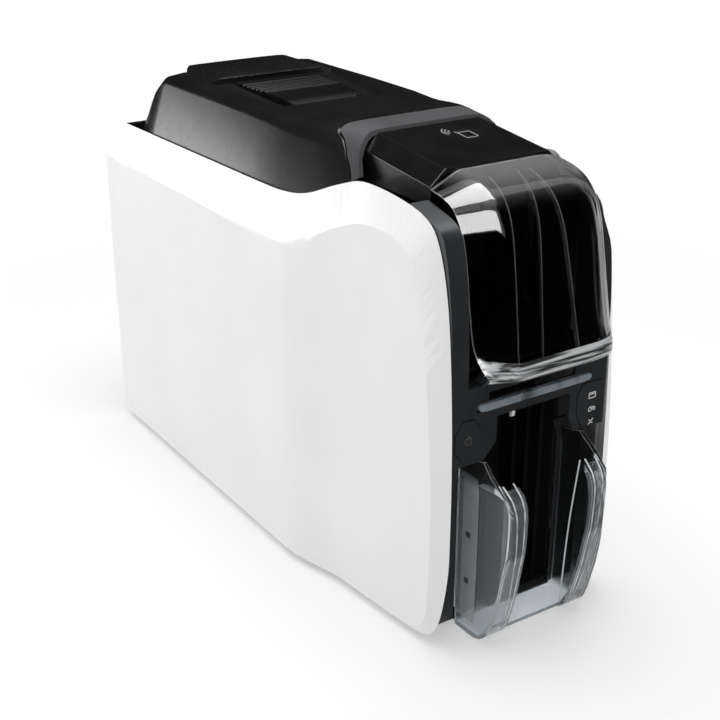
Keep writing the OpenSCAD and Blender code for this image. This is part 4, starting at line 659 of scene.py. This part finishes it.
def make_door():
    """The clear shell, with painted highlights on its edges and painted reflections streaked along its lip.
    """
    across = [-1 + 2 * k / DOOR_STEPS for k in range(DOOR_STEPS + 1)]
    verts = [door_surface(i / DOOR_ROWS, a, inset)
             for inset in (0.0, DOOR_WALL) for i in range(DOOR_ROWS + 1) for a in across]
    skins, rim = shell_faces(DOOR_ROWS, DOOR_STEPS)
    mesh = mesh_of("shell", verts, skins + rim, "clear_smoke", "clear_edge", "clear_lip")
    # the rim takes painted highlights, the outer faces below LIP_Z painted reflections
    for face in mesh.polygons:
        if face.index >= len(skins):
            face.material_index = 1
            continue
        row = face.index // 2 // DOOR_STEPS
        outer = face.index % 2 == 0
        if outer and door_surface((row + 0.5) / DOOR_ROWS, 0.0, 0.0).z < LIP_Z * MM:
            face.material_index = 2
    door = piece("input_door_shell", mesh, "input_door", "clear_smoke", "input_door")
    bm = bmesh.new()
    bm.from_mesh(mesh)
    bmesh.ops.recalc_face_normals(bm, faces=bm.faces)
    bm.to_mesh(mesh)
    bm.free()
    finish_mesh(door, 0.35, 50.0, 3)
    door.modifiers["edges"].material = 1


def make_rib(name, top, bottom):
    """A thin rib inside the door, from its place across at the top to that at the bottom."""
    verts = []
    for i in range(RIB_STEPS + 1):
        part = i / RIB_STEPS
        t = RIB_FROM + (RIB_TO - RIB_FROM) * part
        a = top + (bottom - top) * part
        grown = RIB_DEEP * smooth_step(min(part, 1 - part) / 0.06)
        root = door_surface(t, a, DOOR_WALL - 0.1)
        crest = door_surface(t, a, DOOR_WALL + 0.05 + grown)
        shift = Vector((RIB_WIDE * MM / 2, 0, 0))
        verts += [root + shift, crest + shift, crest - shift, root - shift]
    mesh = mesh_of(name, verts, bar_faces(RIB_STEPS + 1), "clear_rib")
    finish_mesh(piece(name, mesh, "input_door", "clear_smoke"), 0.0, 50.0)


# --------------------------------------------------- clear output hopper
# front of a hopper wall as (z, y), from the top down
HOPPER_FRONT = [(98, -181.2), (93, -187.2), (87.2, -190.1), (79.7, -190.8), (62, -190.2), (50, -188.0),
                (34, -185.2), (16, -180.4), (8, -177.0)]
# each bead: how far from the middle it lies at the top and at the bottom, and how far back
FRONT_BEADS = {"corner": (32.2, 32.6, 1.5), "flange": (30.6, 24.6, 0.35), "inner": (24.0, 22.6, 0.3)}
LIP_BEAD = [(21.5, -180.0, 97.5), (21.5, -175.8, 62.0), (21.5, -173.7, 33.4), (21.5, -172.4, 5.0)]
BACK_BEAD_X = 35.6
BACK_BEAD_Y = -151.4
BACK_BEAD_Z = (97, 70, 40, 12)
BEAD_RADIUS = 0.45
BEAD_STEPS = 6
# flange at the back of the left wall, as (z, y of its front)
FLANGE = [(96.0, -165.2), (88.0, -166.4), (60.0, -166.8), (30.0, -166.6), (9.0, -166.0)]
FLANGE_X = (-33.4, -32.9)
FLANGE_BACK_Y = -151.9
# painted highlight on the left shoulder, as (y, z) along its upper and its lower side
SHOULDER_TOP = [(-166.6, 93.4), (-170.0, 96.0), (-174.2, 97.4), (-178.5, 97.6), (-182.0, 96.6),
                (-185.6, 94.0)]
SHOULDER_LOW = [(-166.6, 93.0), (-170.0, 93.2), (-174.2, 93.5), (-178.5, 94.0), (-182.0, 94.2),
                (-185.6, 93.6)]
PLATE_X = (-33.9, -34.15)
CATCHES = [(-158.0, 61.0), (-158.0, 33.0)]
CATCH_WIDE = 3.4
CATCH_HALF = 1.6
BAND_X = (25.2, 30.6)
SILL_X = (-33.6, 33.6)
SILL_Y = (-149.5, -147.5)
SILL_Z = (1.2, 7.0)


def make_bead(name, points):
    """An edge of the clear hopper with a painted highlight: a thin bright bead along points."""
    curve = bpy.data.curves.new(name, "CURVE")
    curve.dimensions = "3D"
    curve.bevel_depth = BEAD_RADIUS * MM
    curve.bevel_resolution = 3
    spline = curve.splines.new("POLY")
    steps = BEAD_STEPS * (len(points) - 1)
    spline.points.add(steps)
    for i in range(steps + 1):
        spline.points[i].co = (*(v * MM for v in curve_point(points, i / steps)), 1.0)
    # painted highlight along this edge
    curve.materials.append(MATERIALS["clear_edge"])
    piece(name, curve, "output_hopper", "clear_grey")


def make_beads():
    last = len(HOPPER_FRONT) - 1
    for side, name in ((-1, "left"), (1, "right")):
        for bead, (top, bottom, back) in FRONT_BEADS.items():
            make_bead("hopper_bead_%s_%s" % (bead, name),
                      [(side * (top + (bottom - top) * i / last), y + back, z)
                       for i, (z, y) in enumerate(HOPPER_FRONT)])
        if side > 0:
            make_bead("hopper_bead_lip_" + name, LIP_BEAD)
        make_bead("hopper_bead_back_" + name, [(side * BACK_BEAD_X, BACK_BEAD_Y, z) for z in BACK_BEAD_Z])


def make_flange():
    """The flange at the back of the left hopper wall, which shows through it as a paler stripe of painted
    light.
    """
    out, near = FLANGE_X
    sections = [((out, FLANGE_BACK_Y, z), (out, y, z), (near, y, z), (near, FLANGE_BACK_Y, z))
                for z, y in FLANGE]
    # painted light: the flange's paler stripe
    mesh = bar("hopper_flange", sections, "clear_stripe")
    finish_mesh(piece("hopper_flange_left", mesh, "output_hopper", "clear_grey"), 0.15, 40.0)


def make_plate(name, top, low, material):
    """A thin plate on the left hopper wall between two lines of (y, z)."""
    near, out = PLATE_X
    sections = [((near, *b), (near, *a), (out, *a), (out, *b)) for a, b in zip(top, low)]
    piece(name, bar(name, sections, material), "output_hopper", "clear_grey")


def make_plates():
    """A painted highlight on the rounded shoulder, and two dark catches below it."""
    # painted highlight: a bright plate on the rounded shoulder
    make_plate("hopper_shoulder_highlight_left", SHOULDER_TOP, SHOULDER_LOW, "clear_edge")
    for i, (y, z) in enumerate(CATCHES):
        top, low = ([(y, z + up), (y - CATCH_WIDE, z + up)] for up in (CATCH_HALF, -CATCH_HALF))
        make_plate("hopper_catch_left_%d" % i, top, low, "inner_black")


def make_band():
    """The milky front face of the right hopper wall, in painted light."""
    near, out = BAND_X
    sections = [((near, y - 0.1, z), (out, y - 0.1, z), (out, y + 0.2, z), (near, y + 0.2, z))
                for z, y in HOPPER_FRONT[1:-1]]
    piece("hopper_band_right", bar("hopper_band", sections, "clear_band"), "output_hopper", "clear_grey")


def make_sill():
    """Dark sill that closes the gap between the mouth and the hopper floor."""
    (front, back), (low, high) = SILL_Y, SILL_Z
    sections = [((x, back, low), (x, back, high), (x, front, high), (x, front, low)) for x in SILL_X]
    mesh = bar("mouth_sill", sections, "inner_black")
    finish_mesh(piece("mouth_sill", mesh, "output_hopper", "inner_black"), 0.3, 40.0)


def make_hopper_details():
    make_beads()
    make_flange()
    make_plates()
    make_sill()
    make_band()


# ---- signs: thin raised strokes, drawn flat and then laid on their surface
MARK_TALL = 0.12
MARK_FACE_Y = -166.95


def tree_of(node):
    """Search tree of a CAD node, to lay pieces on its surface."""
    bm = bmesh.new()
    bm.from_mesh(frame["nodes"][node].data)
    tree = BVHTree.FromBMesh(bm)
    bm.free()
    return tree


DECK_TREE = tree_of("deck_cover")


def on_deck(u, v, height):
    """Place on the sloping top of the deck cover."""
    hit = DECK_TREE.ray_cast(Vector((u, v, 300.0)) * MM, Vector((0.0, 0.0, -1.0)))[0]
    return u, v, hit.z / MM + height


def on_front(u, v, height):
    """Place on the front of the bezel, at u across and v up."""
    return u, MARK_FACE_Y - height, v


def line(*points):
    """A stroke along points, as (points, whether it is closed)."""
    return list(points), False


def loop(points):
    """A closed stroke."""
    return points, True


def arc(u, v, radius, first, last, steps=14):
    angles = [math.radians(first + (last - first) * i / steps) for i in range(steps + 1)]
    return [(u + radius * math.cos(a), v + radius * math.sin(a)) for a in angles]


def card_outline(u, v, half_u, half_v, radius):
    """A rounded rectangle round (u, v)."""
    inner_u, inner_v = half_u - radius, half_v - radius
    corners = ((1, 1, 0), (-1, 1, 90), (-1, -1, 180), (1, -1, 270))
    return [q for su, sv, turn in corners
            for q in arc(u + su * inner_u, v + sv * inner_v, radius, turn, turn + 90, 4)]


def stroke_sides(points, wide, closed):
    """Left and right points of a stroke along points."""
    n = len(points)
    sides = []
    for i, (u, v) in enumerate(points):
        before = points[i - 1] if closed or i else points[i]
        after = points[(i + 1) % n] if closed or i < n - 1 else points[i]
        along = Vector((after[0] - before[0], after[1] - before[1])).normalized()
        du, dv = along.y * wide / 2, along.x * wide / 2
        sides.append(((u - du, v + dv), (u + du, v - dv)))
    return sides


def make_mark(name, strokes, node, lay, material, wide):
    """One piece of raised strokes. lay gives a place from u, v and height."""
    verts, faces = [], []
    for points, closed in strokes:
        faces += bar_faces(len(points), len(verts), closed)
        for left, right in stroke_sides(points, wide, closed):
            corners = lay(*left, 0.0), lay(*right, 0.0), lay(*right, MARK_TALL), lay(*left, MARK_TALL)
            verts += [tuple(v * MM for v in corner) for corner in corners]
    piece(name, mesh_of(name, verts, faces, material), node, "white_clip")


def make_marks():
    """A card with waves on the deck, three status signs and the power sign."""
    waves = [line(*arc(3.6, -85.4, radius, 112, 220)) for radius in (1.7, 3.5, 5.3)]
    card = loop(card_outline(9.0, -92.6, 3.7, 4.3, 0.9))
    stem = line((4.4, -86.6), (5.6, -89.4))
    make_mark("card_mark", waves + [card, stem], "deck_cover", on_deck, "mark_grey_light", 0.4)
    card = loop(card_outline(39.4, 125.4, 2.3, 1.5, 0.4))
    stripe = line((37.6, 126.0), (41.2, 126.0))
    make_mark("status_mark_card", [card, stripe], "status_window", on_front, "mark_white", 0.45)
    rolls = [loop(arc(u, 117.2, radius, 0, 345)) for u, radius in ((38.4, 1.1), (41.2, 0.8))]
    web = line((38.4, 118.6), (41.2, 118.3))
    make_mark("status_mark_ribbon", rolls + [web], "status_window", on_front, "mark_white", 0.45)
    cross = [line((38.0, 108.4), (41.2, 111.4)), line((38.2, 111.2), (40.9, 108.6))]
    make_mark("status_mark_service", cross, "status_window", on_front, "mark_white", 0.6)
    ring = line(*arc(-42.6, 121.0, 2.1, 115, 425))
    stem = line((-42.6, 121.6), (-42.6, 124.0))
    make_mark("power_mark", [ring, stem], "power_button", on_front, "mark_grey", 0.45)


# --------------------------------------------------------- the whole object
def dress_printer():
    for node in frame["nodes"]:
        if node in OUTSIDE:
            looks = dress(node, OUTSIDE[node])
            if node == "lid_shell":
                paint_arch_light(looks)
            if node == "release_button":
                looks.data.materials[0] = MATERIALS["button_black"]
        elif node == "output_hopper":
            # its rounded edges carry a painted highlight
            dress(node, HOPPER_EDGE, "clear_edge")
            make_hopper_details()
        elif node == "input_door":
            make_door()
            for name, (top, bottom) in RIBS.items():
                make_rib(name, top, bottom)
        else:
            paint(node)
    make_marks()


# ------------------------------------------------- camera, lights and floor
CAMERA_AT = (-0.4011, -0.6148, 0.4147)
CAMERA_TO = (0.0, -0.0041, 0.0954)
CAMERA_LENS = 64.58
SKY = 0.42
WINDOW_GLOW = 13.0
SKIRT_GLOW = 6.0
WINDOW_HIGH = 1.3
FLOOR_FLAG_Z = 0.001
DOOR_Y = -0.17
FLOOR_HALF = 4.0
# the floor turns from its own shade to plain white between these distances
FLOOR_FADE = (0.30, 0.70)


def look_at(obj, target):
    obj.rotation_euler = (Vector(target) - obj.location).to_track_quat("-Z", "Y").to_euler()


def make_camera():
    data = bpy.data.cameras.new("camera")
    data.sensor_width = 36.0
    data.lens = CAMERA_LENS
    data.clip_start = 0.01
    data.clip_end = 20.0
    camera = put("camera", data)
    camera.location = CAMERA_AT
    look_at(camera, CAMERA_TO)
    bpy.context.scene.camera = camera


def softbox(name, place, target, size, power):
    """An area lamp that neither the camera nor gloss sees."""
    data = bpy.data.lights.new(name, "AREA")
    data.shape = "RECTANGLE"
    data.size, data.size_y = size
    data.energy = power
    lamp = put(name, data)
    lamp.location = place
    look_at(lamp, target)
    lamp.visible_camera = False
    lamp.visible_glossy = False


def make_lamps():
    softbox("top_box", (0.0, 0.0, 1.3), (0, 0, 0.1), (1.2, 1.2), 15.0)
    softbox("back_left_box", (-1.05, 1.3, 0.36), (0, 0, 0.18), (0.8, 0.6), 5.0)
    softbox("left_box", (-1.3, -0.45, 0.7), (0, 0, 0.12), (0.8, 0.9), 0.6)


def make_world():
    """White to the camera, to gloss and through clear plastic, and SKY as a light."""
    world = bpy.data.worlds.new("studio")
    world.use_nodes = True
    bpy.context.scene.world = world
    nodes, links = world.node_tree.nodes, world.node_tree.links
    path = nodes.new("ShaderNodeLightPath")
    seen = path.outputs["Is Camera Ray"]
    for ray in ("Is Glossy Ray", "Is Transmission Ray"):
        most = nodes.new("ShaderNodeMath")
        most.operation = "MAXIMUM"
        links.new(seen, most.inputs[0])
        links.new(path.outputs[ray], most.inputs[1])
        seen = most.outputs[0]
    mix = nodes.new("ShaderNodeMix")
    mix.data_type = "FLOAT"
    mix.inputs["A"].default_value = SKY
    mix.inputs["B"].default_value = 1.0
    links.new(seen, mix.inputs["Factor"])
    nodes["Background"].inputs["Color"].default_value = (1, 1, 1, 1)
    links.new(mix.outputs["Result"], nodes["Background"].inputs["Strength"])


def make_floor():
    """A pale floor that keeps the shadow near the object and is plain white further off."""
    h = FLOOR_HALF
    mesh = mesh_of("floor", [(-h, -h, 0), (h, -h, 0), (h, h, 0), (-h, h, 0)], [(0, 1, 2, 3)])
    floor = put("floor", mesh)
    s = Shader("floor")
    s.set(base_color=grey(0.90), roughness=0.9, specular_ior_level=0.0)
    white = s.add("ShaderNodeEmission")
    far = s.add("ShaderNodeVectorMath", operation="LENGTH")
    s.link(s.place, far.inputs[0])
    mix = s.add("ShaderNodeMixShader")
    s.link(s.spread(far.outputs["Value"], 0.40, 1.0, *FLOOR_FADE, "SMOOTHSTEP"), mix.inputs[0])
    s.link(s.bsdf.outputs[0], mix.inputs[1])
    s.link(white.outputs[0], mix.inputs[2])
    s.link(mix.outputs[0], s.tree.nodes["Material Output"].inputs["Surface"])
    mesh.materials.append(s.material)


def card(name, one_side, other_side, glow=0.0):
    """A strip between two rows of points that only reflections see, black or glowing white."""
    n = len(one_side)
    mesh = mesh_of(name, one_side + other_side, [(i, i + 1, n + i + 1, n + i) for i in range(n - 1)])
    obj = put(name, mesh)
    s = Shader(name)
    s.set(base_color=grey(0.0), roughness=1.0, specular_ior_level=0.0)
    s.set(emission_color=grey(1.0), emission_strength=glow)
    mesh.materials.append(s.material)
    obj.visible_camera = False
    obj.visible_diffuse = False
    obj.visible_shadow = False
    obj.visible_volume_scatter = False


def upright(name, foot, low, high, glow=0.0):
    """A card that stands over a line on the floor."""
    card(name, [(x, y, low) for x, y in foot], [(x, y, high) for x, y in foot], glow)


def around(azimuth, radius):
    """Place on the floor at an azimuth, in degrees, from the input door."""
    return radius * math.cos(math.radians(azimuth)), DOOR_Y + radius * math.sin(math.radians(azimuth))


def make_cards():
    """Dark flags and bright windows that the black and the clear plastic reflect."""
    upright("back_flag", [(-0.75, 1.9), (0.25, 1.6), (2.2, 0.2)], 0.0, 2.6)
    card("high_flag", [(-2.2, 0.3, 0.5), (-0.75, 1.9, 0.5)], [(-0.9, 0.1, 2.2), (-0.1, 1.0, 2.6)])
    upright("skirt_window", [(-2.0, 0.4), (-0.75, 1.85)], 0.0, 0.37, SKIRT_GLOW)
    upright("right_front_flag", [(1.9, -0.3), (0.2, -1.9)], 0.0, 3.0)
    upright("left_front_flag", [(0.2, -1.9), (-1.7, -1.0)], 0.0, 0.8)
    near, far = [(-0.05, -0.24), (2.0, -0.1)], [(-0.05, -2.0), (2.0, -2.0)]
    card("floor_flag", [(x, y, FLOOR_FLAG_Z) for x, y in near], [(x, y, FLOOR_FLAG_Z) for x, y in far])
    foot = [around(azimuth, 1.25) for azimuth in range(-146, -100, 8)]
    upright("front_window", foot, 0.74, 1.72, WINDOW_GLOW)
    front, back = ([(-0.4, y, WINDOW_HIGH), (0.5, y, WINDOW_HIGH)] for y in (-0.38, 0.34))
    card("top_window", front, back, WINDOW_GLOW)


dress_printer()
make_camera()
make_world()
make_floor()
make_cards()
make_lamps()

bpy.context.scene.view_settings.view_transform = "Standard"
